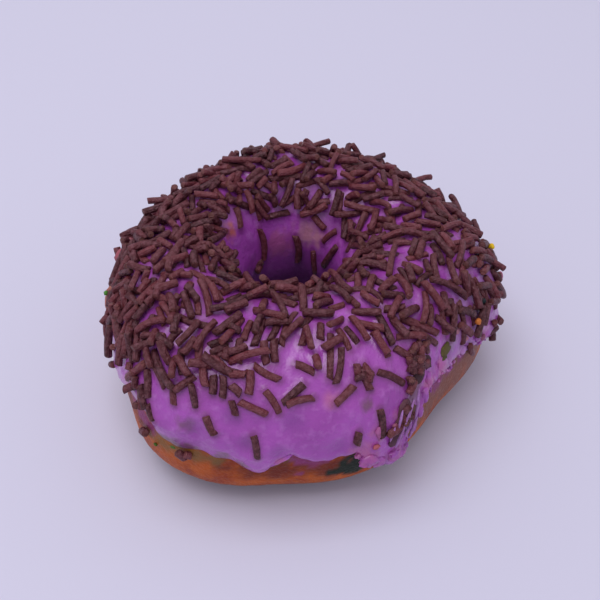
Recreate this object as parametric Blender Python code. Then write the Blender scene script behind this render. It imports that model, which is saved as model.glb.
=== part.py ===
"""A ring doughnut: a fried dough ring, and the purple icing it was dipped in with chocolate sprinkles.

Metres, +Z up. The ring lies flat on z = 0 with the middle of its outline at the origin, and the side
with the barest icing faces -Y. A place on the ring is given by two angles: theta runs round the ring from
+X towards +Y, and phi runs round the section, 0 at its outermost point, 90 degrees on the crown and
180 degrees at the narrowest place of the hole.
"""

import math
import random

import bmesh
import bpy
from mathutils import Vector

MM = 0.001

# The dough ring. A lobe is (how many crests, how high they are, where one of them is in degrees).
RING_RADIUS = 42.6 * MM
RING_LOBES = ((2, 2.6 * MM, 50), (3, 0.6 * MM, 1), (4, 0.4 * MM, 5), (5, 0.6 * MM, 5), (6, 0.6 * MM, 56))
RING_BELLY = (238.0, 34.0, 1.7 * MM)  # where the outline bulges, its half width, and how far
RING_CENTRE = Vector((-1.05 * MM, -0.3 * MM, 0.0))
HOLE_RADIUS = 12.0 * MM
HOLE_LOBES = ((2, 0.8 * MM, 0), (3, 0.4 * MM, 80))
HOLE_CENTRE = RING_CENTRE + Vector((-2.2 * MM, 7.0 * MM, 0.0))
CROWN_HEIGHT = 35.6 * MM
CROWN_LOBES = ((1, 0.8 * MM, 200), (3, 0.5 * MM, 100))
WAIST_HEIGHT = 13.5 * MM
BASE_PRESS = 1.2 * MM  # how far the round underside would reach below the surface it is pressed flat on
FLANK_POWER = 0.92
UNDERSIDE_POWER = 0.80
SECTION_RADIUS = 0.5 * (CROWN_HEIGHT - WAIST_HEIGHT + 0.5 * (RING_RADIUS - HOLE_RADIUS))

# The icing. Its lower edge is an angle phi on the outside, and its inner one an angle phi in the hole.
ICING_GAP = 0.3 * MM
ICING_THICKNESS = 1.5 * MM
ICING_LIP = 2.2 * MM
ICING_SWELL = 0.25 * MM
SKIRT_ANGLE = 8.0
SKIRT_WAVES = ((1, 3.0, 265), (5, 2.0, 30), (9, 1.5, 12))
HOLE_EDGE_ANGLE = 212.0
HOLE_EDGE_WAVES = ((3, 5.0, 40), (5, 3.0, 10))
# A tear or a drip is where it is round the ring, its half width and how far it lifts the edge, in degrees.
SKIRT_FEATURES = (
    (222, 14, 12), (249, 5, -4), (258, 9, -12), (267, 6, 4), (289, 4, -16),
    (296, 7, -27), (304, 6, -6), (314, 14, 8), (334, 18, 6),
)

# The sprinkles.
SPRINKLE_SEED = 7
SPRINKLE_COUNT = 650
SPRINKLE_RADIUS = 0.80 * MM
SPRINKLE_LENGTHS = (3.2 * MM, 11.5 * MM, 5.2 * MM)  # shortest, longest, most common
SPRINKLE_LIFT = 0.35  # height of the axis over the icing, as a share of the radius
SPRINKLE_SINK = 0.3  # how far a level one sinks where the icing is domed under it, as a share of the dome
SPRINKLE_SPACING = 0.76  # how near two axes come, as a share of the diameter
# How many sprinkles lie under its tail and under its head, in the order in which they are tried.
SPRINKLE_LAYERS = ((0, 0), (0, 1), (1, 0), (1, 1), (0, 2), (2, 0))
SPRINKLE_TOP = 40.3 * MM  # no end's axis lies higher than this
FLANK_LAYERS = 4  # on a flank only this many of them are tried, because a pile would slide off
FLANK_SLOPE = 0.6  # the surface is a flank where its normal's height is less than this
SPRINKLE_TURN = (0.5, 0.3)  # how far one turns from straight down, in half turns, and how much less if steep
BARE_BELOW = 20.0
BARE_FRONT = (276.0, 82.0, 54.0)  # where the front is barest, its half width, and how far up it is bare
BARE_FADE = 12.0
HOLE_BARE_ABOVE = 136.0
HOLE_BARE_SIDE = (158.0, 45.0, 20.0)  # where the hole is barest, its half width, and how far up it is bare
HOLE_FADE = 10.0
SOLID_SPRINKLES = 115
SPRINKLE_SIDES = 6
# Sprinkles on the front, on the rim and in the hole: theta, phi, turn from along the ring, length in mm.
PLACED_SPRINKLES = (
    (258, 22, 81, 5.4), (247, 33, 59, 4.2), (252, 43, 66, 3.1), (257, 43, 23, 6.0), (262, 46, 54, 5.2),
    (268, 50, 143, 5.6), (270, 46, 170, 5.4), (260, 61, 26, 5.8), (272, 63, 24, 4.0), (276, 66, 88, 2.8),
    (281, 69, 104, 9.4), (283, 63, 112, 7.4), (283, 47, 147, 5.2), (290, 52, 79, 4.6), (298, 47, 44, 6.4),
    (299, 66, 83, 6.0), (285, 22, 107, 2.8), (292, 26, 92, 6.4), (298, 20, 1, 8.0), (232, 28, 53, 3.5),
    (237, 43, 69, 4.0), (239, 50, 126, 4.8), (242, 46, 68, 4.8), (308, 49, 50, 9.2), (229, 40, 61, 5.8),
    (132, 154, 96, 8.6), (85, 163, 82, 7.8), (58, 170, 76, 6.8), (34, 158, 109, 8.0), (70, 131, 146, 7.9),
    (146, 125, 124, 5.0), (105, 137, 176, 5.2), (45, 146, 121, 5.0), (62, 140, 24, 4.2), (97, 108, 1, 8.4),
    (14, 107, 10, 9.0), (202, 114, 14, 10.0), (225, 99, 1, 10.5), (253, 113, 2, 9.0), (284, 113, 176, 9.5),
    (246, 100, 118, 10.0), (305, 95, 54, 8.8), (276, 93, 128, 7.8), (240, 95, 127, 8.2), (223, 88, 50, 7.2),
    (298, 79, 45, 6.6), (261, 85, 104, 6.4), (259, 71, 76, 4.5), (262, 72, 83, 4.4), (236, 59, 60, 5.3),
    (221, 59, 67, 7.5), (215, 50, 78, 5.4), (228, 31, 66, 4.9), (328, 52, 122, 7.4), (333, 77, 3, 5.5),
    (341, 57, 78, 5.5), (348, 48, 101, 6.9), (183, 121, 26, 7.5), (190, 108, 120, 7.6),
)

# How finely the solids are cut.
RING_STEPS = 60
SECTION_STEPS = 30
SHARED_ROWS = (47.0, 181.0)  # between these angles phi the icing's rows lie over the dough's
LIP_STEPS = (0.0, 0.3)  # shares of the lip's width
SKIRT_STEPS = (0.0, 0.25, 0.5, 0.75)  # shares of the way from the lip to the first shared row
HOLE_STEPS = (0.5, 0.0)
SLOPE_STEP = 0.001  # how far apart a slope is measured, in radians
NEARLY_PARALLEL = 1e-14

DOUGH_COLOUR = (0.40, 0.13, 0.045, 1.0)
DOUGH_ROUGHNESS = 0.7
ICING_COLOUR = (0.30, 0.075, 0.36, 1.0)
ICING_ROUGHNESS = 0.4
SMOOTH_BELOW = 40.0


def clear_scene():
    for obj in list(bpy.data.objects):
        bpy.data.objects.remove(obj)


def waves(lobes, theta):
    """Sum of the lobes at theta, in their own unit."""
    return sum(height * math.cos(crests * (theta - math.radians(at))) for crests, height, at in lobes)


def rounded(value, power):
    """value, with its sign kept and its size raised to power: below 1 this squares a circle off."""
    return math.copysign(abs(value) ** power, value)


def ring_point(theta, phi):
    """The dough's surface, before anything is laid on it."""
    out = Vector((math.cos(theta), math.sin(theta), 0.0))
    at, half_width, bulge = RING_BELLY
    belly = bulge * bump(angle_between(math.degrees(theta), at), half_width)
    outer = RING_CENTRE + out * (RING_RADIUS + waves(RING_LOBES, theta) + belly)
    inner = HOLE_CENTRE + out * (HOLE_RADIUS + waves(HOLE_LOBES, theta))
    point = inner.lerp(outer, 0.5 + 0.5 * rounded(math.cos(phi), FLANK_POWER))
    if math.sin(phi) >= 0:
        crown = CROWN_HEIGHT + waves(CROWN_LOBES, theta)
        point.z = WAIST_HEIGHT + (crown - WAIST_HEIGHT) * rounded(math.sin(phi), FLANK_POWER)
    else:
        drop = (WAIST_HEIGHT + BASE_PRESS) * rounded(-math.sin(phi), UNDERSIDE_POWER)
        point.z = max(0.0, WAIST_HEIGHT - drop)
    return point


def ring_frame(theta, phi):
    """Unit vectors at that place: along the ring, down the section towards its outside, and straight out."""
    along = ring_point(theta + SLOPE_STEP, phi) - ring_point(theta - SLOPE_STEP, phi)
    down = ring_point(theta, phi - SLOPE_STEP) - ring_point(theta, phi + SLOPE_STEP)
    normal = down.cross(along).normalized()
    return along.normalized(), down.normalized(), normal


def ring_stretch(theta, phi):
    """Metres for each radian there: round the ring, and round its section."""
    here = ring_point(theta, phi)
    around = (ring_point(theta + SLOPE_STEP, phi) - here).length
    across = (ring_point(theta, phi + SLOPE_STEP) - here).length
    return around / SLOPE_STEP, across / SLOPE_STEP


def lifted(theta, phi, height):
    """A point that far over the dough's surface."""
    return ring_point(theta, phi) + ring_frame(theta, phi)[2] * height


def bump(distance, half_width):
    """1 at distance 0, falling smoothly to 0 at half_width."""
    if abs(distance) >= half_width:
        return 0.0
    return 0.5 + 0.5 * math.cos(math.pi * distance / half_width)


def angle_between(a, b):
    """Smallest difference of two angles in degrees."""
    return (a - b + 180.0) % 360.0 - 180.0


def skirt_phi(theta):
    """Where the icing ends on the ring's outside."""
    edge = SKIRT_ANGLE + waves(SKIRT_WAVES, theta)
    for at, half_width, lift in SKIRT_FEATURES:
        edge += lift * bump(angle_between(math.degrees(theta), at), half_width)
    return math.radians(edge)


def hole_phi(theta):
    """Where the icing ends in the hole."""
    return math.radians(HOLE_EDGE_ANGLE + waves(HOLE_EDGE_WAVES, theta))


def icing_swell(theta, phi):
    """The icing's own slow ups and downs."""
    ripple = math.sin(3 * theta + 2 * phi + 0.4) + math.sin(5 * theta - 3 * phi + 1.9)
    return ICING_SWELL * ripple


def icing_height(theta, phi):
    """Height of the icing's top over the dough, with a rounded lip at both of its edges."""
    from_edge = SECTION_RADIUS * min(phi - skirt_phi(theta), hole_phi(theta) - phi)
    inward = min(1.0, max(0.0, from_edge / ICING_LIP))
    full = ICING_THICKNESS + icing_swell(theta, phi)
    return ICING_GAP + full * math.sqrt(1.0 - (1.0 - inward) ** 2)


def on_icing(theta, phi):
    return lifted(theta, phi, icing_height(theta, phi))


def loft(name, sections):
    """A closed ring through sections, each a closed loop of as many points."""
    bm = bmesh.new()
    loops = [[bm.verts.new(point) for point in section] for section in sections]
    for loop, following in zip(loops, loops[1:] + loops[:1]):
        for i in range(len(loop)):
            bm.faces.new((loop[i - 1], following[i - 1], following[i], loop[i]))
    bmesh.ops.recalc_face_normals(bm, faces=bm.faces)
    mesh = bpy.data.meshes.new(name)
    bm.to_mesh(mesh)
    bm.free()
    obj = bpy.data.objects.new(name, mesh)
    bpy.context.scene.collection.objects.link(obj)
    return obj


def steps(count, turn=math.tau):
    return [turn * i / count for i in range(count)]


def make_dough():
    """One solid ring, flat where it stands."""
    sections = [[ring_point(theta, phi) for phi in steps(SECTION_STEPS)] for theta in steps(RING_STEPS)]
    return loft("dough_ring", sections)


def icing_rows(start, end):
    """Angles phi from start to end, most of them the dough's own, so that neither surface cuts a corner."""
    low, high = (math.radians(angle) for angle in SHARED_ROWS)
    shared = [phi for phi in steps(SECTION_STEPS) if low < phi < high]
    on_skirt = [start + (shared[0] - start) * share for share in SKIRT_STEPS]
    in_hole = [end + (shared[-1] - end) * share for share in HOLE_STEPS]
    return on_skirt + shared + in_hole


def icing_section(theta):
    """The icing's closed section: over its top from the skirt into the hole, and back along the dough."""
    start, end = skirt_phi(theta), hole_phi(theta)
    lip = ICING_LIP / SECTION_RADIUS
    rows = icing_rows(start + lip, end - lip)
    skirt_lip = [start + share * lip for share in LIP_STEPS]
    hole_lip = [end - share * lip for share in reversed(LIP_STEPS)]
    top = [on_icing(theta, phi) for phi in skirt_lip + rows + hole_lip]
    under = [lifted(theta, phi, ICING_GAP) for phi in reversed(rows)]
    return top + under


def make_icing():
    """The dipped skin of icing, one shell round the ring."""
    return loft("icing", [icing_section(theta) for theta in steps(RING_STEPS)])


def sprinkle_cover(theta, phi):
    """How likely one is to stay there, from 0 to 1: few lie low on the front or deep in the hole."""
    at, half_width, lift = BARE_FRONT
    lowest = BARE_BELOW + lift * bump(angle_between(math.degrees(theta), at), half_width)
    on_skirt = min(1.0, max(0.0, (math.degrees(phi) - lowest) / BARE_FADE))
    at, half_width, lift = HOLE_BARE_SIDE
    highest = HOLE_BARE_ABOVE - lift * bump(angle_between(math.degrees(theta), at), half_width)
    in_hole = min(1.0, max(0.0, (highest - math.degrees(phi)) / HOLE_FADE))
    return on_skirt * in_hole


def nearest_gap(a, b):
    """Shortest distance between two straight pieces, each a pair of end points."""
    start, run = a[0], a[1] - a[0]
    other, reach = b[0], b[1] - b[0]
    apart = start - other
    rr, ss, rs = run.dot(run), reach.dot(reach), run.dot(reach)
    ra, sa = run.dot(apart), reach.dot(apart)
    spread = rr * ss - rs * rs
    t = min(1.0, max(0.0, (rs * sa - ss * ra) / spread)) if spread > NEARLY_PARALLEL else 0.0
    u = min(1.0, max(0.0, (rs * t + sa) / ss))
    t = min(1.0, max(0.0, (rs * u - ra) / rr))
    return (apart + run * t - reach * u).length


def lay_sprinkle(theta, phi, turn, length, placed):
    """Rests a sprinkle on the icing, or on those already there. Returns its ends and layers, or None."""
    normal = ring_frame(theta, phi)[2]
    middle = on_icing(theta, phi)
    around, across = ring_stretch(theta, phi)
    aside, below = length / 2 * math.cos(turn) / around, length / 2 * math.sin(turn) / across
    head, tail = on_icing(theta + aside, phi - below), on_icing(theta - aside, phi + below)
    hollow = ((head + tail) / 2 - middle).dot(normal)
    half = (head - tail).normalized() * length / 2
    reach = length / 2 + 4 * SPRINKLE_RADIUS
    near = [s for s in placed if (s["middle"] - middle).length < s["length"] / 2 + reach]
    layer = 2 * SPRINKLE_RADIUS * SPRINKLE_SPACING
    tried = SPRINKLE_LAYERS if normal.z > FLANK_SLOPE else SPRINKLE_LAYERS[:FLANK_LAYERS]
    for low, high in tried:
        sink = SPRINKLE_SINK if low == high and hollow < 0 else 1.0
        rest = middle + normal * (SPRINKLE_LIFT * SPRINKLE_RADIUS + sink * hollow)
        ends = (rest - half + normal * low * layer, rest + half + normal * high * layer)
        low_enough = max(end.z for end in ends) <= SPRINKLE_TOP
        if low_enough and all(nearest_gap(ends, s["ends"]) >= layer for s in near):
            return {"ends": ends, "middle": (ends[0] + ends[1]) / 2, "length": length, "layers": (low, high)}
    return None


def scatter_sprinkles():
    """Every sprinkle as a dict of its ends, its middle, its length and what lies under its two ends."""
    draw = random.Random(SPRINKLE_SEED)
    shortest, longest, common = SPRINKLE_LENGTHS
    on_crown, less_on_flank = SPRINKLE_TURN
    reach = RING_RADIUS + ICING_THICKNESS
    placed = []
    for theta, phi, turn, length in PLACED_SPRINKLES:
        laid = lay_sprinkle(math.radians(theta), math.radians(phi), math.radians(turn), length * MM, placed)
        if laid:
            placed.append(laid)
    while len(placed) < SPRINKLE_COUNT:
        theta, phi = draw.uniform(0, math.tau), draw.uniform(0, math.pi)
        steep = 1.0 - max(0.0, ring_frame(theta, phi)[2].z)
        turn = math.pi / 2 + draw.uniform(-1, 1) * math.pi * (on_crown - less_on_flank * steep)
        length = draw.triangular(shortest, longest, common)
        keep = draw.random()
        point = ring_point(theta, phi)
        if keep > sprinkle_cover(theta, phi) * math.hypot(point.x, point.y) / reach:
            continue
        laid = lay_sprinkle(theta, phi, turn, length, placed)
        if laid:
            placed.append(laid)
    return placed


def make_sprinkle(index, ends):
    """A straight six-sided stick between its ends."""
    run = ends[1] - ends[0]
    bm = bmesh.new()
    bmesh.ops.create_cone(
        bm,
        cap_ends=True,
        segments=SPRINKLE_SIDES,
        radius1=SPRINKLE_RADIUS,
        radius2=SPRINKLE_RADIUS,
        depth=run.length,
    )
    turn = run.normalized().to_track_quat("Z", "Y")
    bmesh.ops.rotate(bm, verts=bm.verts, matrix=turn.to_matrix())
    bmesh.ops.translate(bm, verts=bm.verts, vec=(ends[0] + ends[1]) / 2)
    mesh = bpy.data.meshes.new(f"sprinkle_{index}")
    bm.to_mesh(mesh)
    bm.free()
    return bpy.data.objects.new(mesh.name, mesh)


def fuse_sprinkles(icing):
    """Joins the longest sprinkles that touch the icing to it."""
    touching = [s for s in scatter_sprinkles() if 0 in s["layers"]]
    longest = sorted(touching, key=lambda s: -s["length"])[:SOLID_SPRINKLES]
    gathered = bpy.data.collections.new("sprinkles")
    bpy.context.scene.collection.children.link(gathered)
    for index, sprinkle in enumerate(longest):
        gathered.objects.link(make_sprinkle(index, sprinkle["ends"]))
    union = icing.modifiers.new("sprinkles", "BOOLEAN")
    union.operation = "UNION"
    union.operand_type = "COLLECTION"
    union.collection = gathered
    bpy.context.view_layer.objects.active = icing
    bpy.ops.object.modifier_apply(modifier=union.name)
    for obj in list(gathered.objects):
        bpy.data.objects.remove(obj)
    bpy.data.collections.remove(gathered)


def finish(obj, colour, roughness):
    """Gives a solid its own material and smooth shading."""
    material = bpy.data.materials.new(obj.name)
    material.use_nodes = True
    shader = material.node_tree.nodes["Principled BSDF"]
    shader.inputs["Base Color"].default_value = colour
    shader.inputs["Roughness"].default_value = roughness
    obj.data.materials.clear()
    obj.data.materials.append(material)
    obj.data.shade_smooth()
    obj.data.set_sharp_from_angle(angle=math.radians(SMOOTH_BELOW))


def main():
    clear_scene()
    dough = make_dough()
    icing = make_icing()
    fuse_sprinkles(icing)
    finish(dough, DOUGH_COLOUR, DOUGH_ROUGHNESS)
    finish(icing, ICING_COLOUR, ICING_ROUGHNESS)


main()
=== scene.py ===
# %% [markdown]
# # A ring doughnut with purple icing and chocolate sprinkles
#
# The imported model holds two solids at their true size: the fried dough ring, and the skin of icing with its
# largest sprinkles. They are cut coarsely, because they carry the weight and the contact. This lesson makes
# the fine surfaces over them: the crust, the icing with its lips, lumps and tears, several hundred sprinkles
# and the stray crumbs. Everything is in metres, with +Z up.

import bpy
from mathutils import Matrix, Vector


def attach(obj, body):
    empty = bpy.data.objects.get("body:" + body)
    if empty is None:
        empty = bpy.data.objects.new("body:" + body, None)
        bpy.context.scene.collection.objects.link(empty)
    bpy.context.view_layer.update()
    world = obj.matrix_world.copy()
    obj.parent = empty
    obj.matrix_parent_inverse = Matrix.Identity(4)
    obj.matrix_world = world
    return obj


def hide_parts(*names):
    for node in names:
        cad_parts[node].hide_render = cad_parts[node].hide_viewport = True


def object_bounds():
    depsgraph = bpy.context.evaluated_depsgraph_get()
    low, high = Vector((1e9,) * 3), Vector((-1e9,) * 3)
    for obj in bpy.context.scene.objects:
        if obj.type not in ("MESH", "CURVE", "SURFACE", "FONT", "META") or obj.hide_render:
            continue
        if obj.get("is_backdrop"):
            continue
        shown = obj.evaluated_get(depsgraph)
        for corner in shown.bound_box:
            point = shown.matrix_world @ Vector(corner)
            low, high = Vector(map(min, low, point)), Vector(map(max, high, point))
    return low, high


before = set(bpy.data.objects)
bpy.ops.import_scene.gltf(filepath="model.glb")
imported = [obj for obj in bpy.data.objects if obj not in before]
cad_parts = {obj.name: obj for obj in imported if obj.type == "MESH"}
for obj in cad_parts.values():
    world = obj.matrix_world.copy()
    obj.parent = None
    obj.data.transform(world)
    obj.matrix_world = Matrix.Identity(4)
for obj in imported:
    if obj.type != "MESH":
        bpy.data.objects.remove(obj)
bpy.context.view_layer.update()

# %% [markdown]
# ## The ring's own measures
#
# A place on the ring is given by two angles. Theta runs round the ring from +X towards +Y, and phi runs
# round its section: 0 at the outermost point, 90 degrees on the crown, 180 at the narrowest of the hole.
# The outline of real dough is never a circle, so a few slow lobes push it in and out. A lobe is how many
# crests it has, how high they are and where one of them is, in degrees. These are the same driving sizes
# that the solids were made from, so that the fine surfaces lie on them.

# %% Sizes of the dough ring
import math
import random

import bpy
from mathutils import Quaternion, Vector, noise
from mathutils.kdtree import KDTree

MM = 0.001
RING_RADIUS = 42.6 * MM
RING_LOBES = ((2, 2.6 * MM, 50), (3, 0.6 * MM, 1), (4, 0.4 * MM, 5), (5, 0.6 * MM, 5), (6, 0.6 * MM, 56))
RING_BELLY = (238.0, 34.0, 1.7 * MM)  # where the outline bulges, its half width, and how far
RING_CENTRE = Vector((-1.05 * MM, -0.3 * MM, 0.0))
HOLE_RADIUS = 12.0 * MM
HOLE_LOBES = ((2, 0.8 * MM, 0), (3, 0.4 * MM, 80))
HOLE_CENTRE = RING_CENTRE + Vector((-2.2 * MM, 7.0 * MM, 0.0))
CROWN_HEIGHT = 35.6 * MM
CROWN_LOBES = ((1, 0.8 * MM, 200), (3, 0.5 * MM, 100))
WAIST_HEIGHT = 13.5 * MM
BASE_PRESS = 1.2 * MM  # how far the round underside would reach below the surface it is pressed flat on
FLANK_POWER = 0.92  # below 1, these two square the section off, above and below its widest place
UNDERSIDE_POWER = 0.80
SECTION_RADIUS = 0.5 * (CROWN_HEIGHT - WAIST_HEIGHT + 0.5 * (RING_RADIUS - HOLE_RADIUS))
SLOPE_STEP = 0.001  # how far apart a slope is measured, in radians

# %% [markdown]
# ## From two angles to a place
#
# The section is a squared-off circle between the outline and the hole: a power just under 1 on its sine and
# cosine fills its corners as risen dough does. Below, it is cut flat where the ring rests.

# %% Lobes and bumps
def bump(distance, half_width):
    """1 at distance 0, falling smoothly to 0 at half_width."""
    if abs(distance) >= half_width:
        return 0.0
    return 0.5 + 0.5 * math.cos(math.pi * distance / half_width)


def angle_between(a, b):
    """Smallest difference of two angles in degrees."""
    return (a - b + 180.0) % 360.0 - 180.0


def waves(lobes, theta):
    """Sum of the lobes at theta, in their own unit."""
    return sum(height * math.cos(crests * (theta - math.radians(at))) for crests, height, at in lobes)


def rounded(value, power):
    """value, with its sign kept and its size raised to power: below 1 this squares a circle off."""
    return math.copysign(abs(value) ** power, value)

# %% Places and directions on the ring
def ring_point(theta, phi):
    """The dough's surface, before anything is laid on it."""
    out = Vector((math.cos(theta), math.sin(theta), 0.0))
    at, half_width, bulge = RING_BELLY
    belly = bulge * bump(angle_between(math.degrees(theta), at), half_width)
    outer = RING_CENTRE + out * (RING_RADIUS + waves(RING_LOBES, theta) + belly)
    inner = HOLE_CENTRE + out * (HOLE_RADIUS + waves(HOLE_LOBES, theta))
    point = inner.lerp(outer, 0.5 + 0.5 * rounded(math.cos(phi), FLANK_POWER))
    if math.sin(phi) >= 0:
        crown = CROWN_HEIGHT + waves(CROWN_LOBES, theta)
        point.z = WAIST_HEIGHT + (crown - WAIST_HEIGHT) * rounded(math.sin(phi), FLANK_POWER)
    else:
        drop = (WAIST_HEIGHT + BASE_PRESS) * rounded(-math.sin(phi), UNDERSIDE_POWER)
        point.z = max(0.0, WAIST_HEIGHT - drop)
    return point


def ring_frame(theta, phi):
    """Unit vectors at that place: along the ring, down the section towards its outside, and straight out."""
    along = ring_point(theta + SLOPE_STEP, phi) - ring_point(theta - SLOPE_STEP, phi)
    down = ring_point(theta, phi - SLOPE_STEP) - ring_point(theta, phi + SLOPE_STEP)
    normal = down.cross(along).normalized()
    return along.normalized(), down.normalized(), normal


def ring_stretch(theta, phi):
    """Metres for each radian there: round the ring, and round its section."""
    here = ring_point(theta, phi)
    around = (ring_point(theta + SLOPE_STEP, phi) - here).length
    across = (ring_point(theta, phi + SLOPE_STEP) - here).length
    return around / SLOPE_STEP, across / SLOPE_STEP


def lifted(theta, phi, height):
    """A point that far over the dough's surface."""
    return ring_point(theta, phi) + ring_frame(theta, phi)[2] * height


print("the crown at the front is", round(1000 * ring_point(-math.pi / 2, math.pi / 2).z, 1), "mm high")

# %% [markdown]
# ## The camera
#
# Near sprinkles look thicker than far ones, so the picture was taken from close by. The camera stands
# 200 mm from the middle of the ring and looks down on it at 46 degrees. Its focal length is worked out
# from the size of the ring in a picture of 600 by 600 pixels. Colours are shown as they are, without a
# film look, so that a colour measured in a picture can be used as it stands.

# %% Camera
PICTURE_PIXELS = 600
SENSOR_WIDTH = 36.0
FOCAL_PIXELS = 837
CAMERA_DISTANCE = 200 * MM
CAMERA_ELEVATION = math.radians(46)
CAMERA_AIM = RING_CENTRE + Vector((0, 0, 15 * MM))
AIM_PIXEL = (301.1, 315.3)  # where the aim shows in the picture
NEAREST_SEEN = 10 * MM


def add_camera():
    """The scene's camera, with its focal length and shift worked out from pixels."""
    lens = bpy.data.cameras.new("camera")
    lens.sensor_width = SENSOR_WIDTH
    lens.lens = SENSOR_WIDTH * FOCAL_PIXELS / PICTURE_PIXELS
    lens.shift_x = (PICTURE_PIXELS / 2 - AIM_PIXEL[0]) / PICTURE_PIXELS
    lens.shift_y = (AIM_PIXEL[1] - PICTURE_PIXELS / 2) / PICTURE_PIXELS
    lens.clip_start = NEAREST_SEEN
    camera = bpy.data.objects.new("camera", lens)
    bpy.context.scene.collection.objects.link(camera)
    back = Vector((0, -math.cos(CAMERA_ELEVATION), math.sin(CAMERA_ELEVATION)))
    camera.location = CAMERA_AIM + back * CAMERA_DISTANCE
    camera.rotation_euler = (math.pi / 2 - CAMERA_ELEVATION, 0, 0)
    bpy.context.scene.camera = camera
    bpy.context.scene.view_settings.view_transform = "Standard"
    print("camera with a lens of", round(lens.lens, 1), "mm")


add_camera()

# %% [markdown]
# ## A fine ring to shape
#
# Both the crust and the icing close on themselves round the ring and round their section, which is just what
# a torus does. So each starts as a torus primitive, is subdivided in edit mode, and then each of its points
# is moved to the place that its two angles give.

# %% A torus whose points are placed by their angles
def turn_outwards(obj):
    """Makes all the faces of obj, which is active, point outwards."""
    bpy.ops.object.mode_set(mode="EDIT")
    bpy.ops.mesh.select_all(action="SELECT")
    bpy.ops.mesh.normals_make_consistent(inside=False)
    bpy.ops.object.mode_set(mode="OBJECT")
    print(obj.name, "has", len(obj.data.polygons), "faces")


def shaped_torus(name, around, across, cuts, place):
    """A ring of around by across faces, each cut again, with its points where place(theta, turn) says."""
    major, minor = 2.0, 1.0  # any sizes will do, because every point is moved
    bpy.ops.object.select_all(action="DESELECT")
    bpy.ops.mesh.primitive_torus_add(
        major_segments=around, minor_segments=across, major_radius=major, minor_radius=minor
    )
    ring = bpy.context.object
    ring.name = name
    bpy.ops.object.mode_set(mode="EDIT")
    bpy.ops.mesh.select_all(action="SELECT")
    bpy.ops.mesh.subdivide(number_cuts=cuts)
    bpy.ops.object.mode_set(mode="OBJECT")
    for vertex in ring.data.vertices:
        x, y, z = vertex.co
        theta = math.atan2(y, x) % math.tau
        turn = (math.atan2(z, math.hypot(x, y) - major) % math.tau) / math.tau
        vertex.co = place(theta, turn)
    turn_outwards(ring)
    bpy.ops.object.shade_smooth()
    return ring

# %% [markdown]
# ## The crust
#
# Fried dough has a tight skin with slow dents from handling, and fine wrinkles where it shrank round the
# steam that left it. Both are moves of the surface itself. Its pores come later, as bump in the material.

# %% Dough ring
DENT_SIZE, DENT_DEPTH = 9 * MM, 0.28 * MM
WRINKLE_SIZE, WRINKLE_DEPTH = 1.7 * MM, 0.10 * MM
WRINKLE_FLATNESS = 2  # on the flanks the wrinkles are this much longer than they are tall
DOUGH_FACES = (96, 44, 2)  # round the ring, round its section, and how often each is cut


def dough_place(theta, turn):
    """The crust's surface, at a share of one turn round the section."""
    phi = turn * math.tau
    point = ring_point(theta, phi)
    dents = DENT_DEPTH * noise.noise(point / DENT_SIZE)
    squeezed = Vector((point.x, point.y, WRINKLE_FLATNESS * point.z))
    wrinkles = WRINKLE_DEPTH * noise.noise(squeezed / WRINKLE_SIZE)
    moved = point + ring_frame(theta, phi)[2] * (dents + wrinkles)
    moved.z = max(0.0, moved.z) if point.z > 0 else 0.0
    return moved


dough = shaped_torus("dough_crust", *DOUGH_FACES, dough_place)
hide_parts("dough_ring")
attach(dough, "root")

# %% [markdown]
# ## Where the icing ends
#
# The ring was dipped upside down, so the icing runs over the crown, down into the hole and down the outside
# to a wavy edge. At the front one drip hangs lower, and two clumps hang beside it. To their right a piece
# was torn off, which leaves the dough bare, and the icing there is crumpled and its edge ragged.

# %% The icing's sizes and edges
ICING_GAP = 0.3 * MM
ICING_THICKNESS = 1.5 * MM
ICING_LIP = 2.2 * MM
ICING_SWELL = 0.25 * MM
SWELL_WAVES = ((3, 2, 0.4), (5, -3, 1.9))  # crests round the ring, crests round the section, and their start
SKIRT_ANGLE = 8.0
SKIRT_WAVES = ((1, 3.0, 265), (5, 2.0, 30), (9, 1.5, 12))
HOLE_EDGE_ANGLE = 212.0
HOLE_EDGE_WAVES = ((3, 5.0, 40), (5, 3.0, 10))
# A tear or a drip is where it is round the ring, its half width and how far it lifts the edge, in degrees.
SKIRT_FEATURES = (
    (222, 14, 12), (249, 5, -4), (258, 9, -12), (267, 6, 4), (289, 4, -16),
    (296, 7, -27), (304, 6, -6), (314, 14, 8), (334, 18, 6),
)
TEAR = (315.0, 34.0)  # the middle of the torn stretch and its half width, in degrees
TEAR_LIFT = 4.5  # how much further up the icing ends there
TEAR_NICKS, TEAR_GRAIN = 5.5, 2.5  # how deep its nicks are and how far apart
NICK_NOISE = (0.5, 2.2, 4)  # how fast its finer waves fade, how much finer each is, and how many it has
EDGE_RIPPLE, RIPPLE_GRAIN = 1.6, 3.0  # the same for the ripple all round
BARE_LEFT = (229.0, 9.0, 4.0)  # where the icing ends higher on the left, its half width, and by how much
THIN_EDGE = (246.0, 26.0, 2.6 * MM)  # where the edge runs out thinly, its half width, and over how far


def skirt_phi(theta):
    """Where the icing ends on the ring's outside."""
    edge = SKIRT_ANGLE + waves(SKIRT_WAVES, theta)
    for at, half_width, lift in SKIRT_FEATURES:
        edge += lift * bump(angle_between(math.degrees(theta), at), half_width)
    return math.radians(edge)


def hole_phi(theta):
    """Where the icing ends in the hole."""
    return math.radians(HOLE_EDGE_ANGLE + waves(HOLE_EDGE_WAVES, theta))


def icing_swell(theta, phi):
    """The icing's own slow ups and downs."""
    ripple = sum(math.sin(around * theta + over * phi + start) for around, over, start in SWELL_WAVES)
    return ICING_SWELL * ripple


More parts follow.
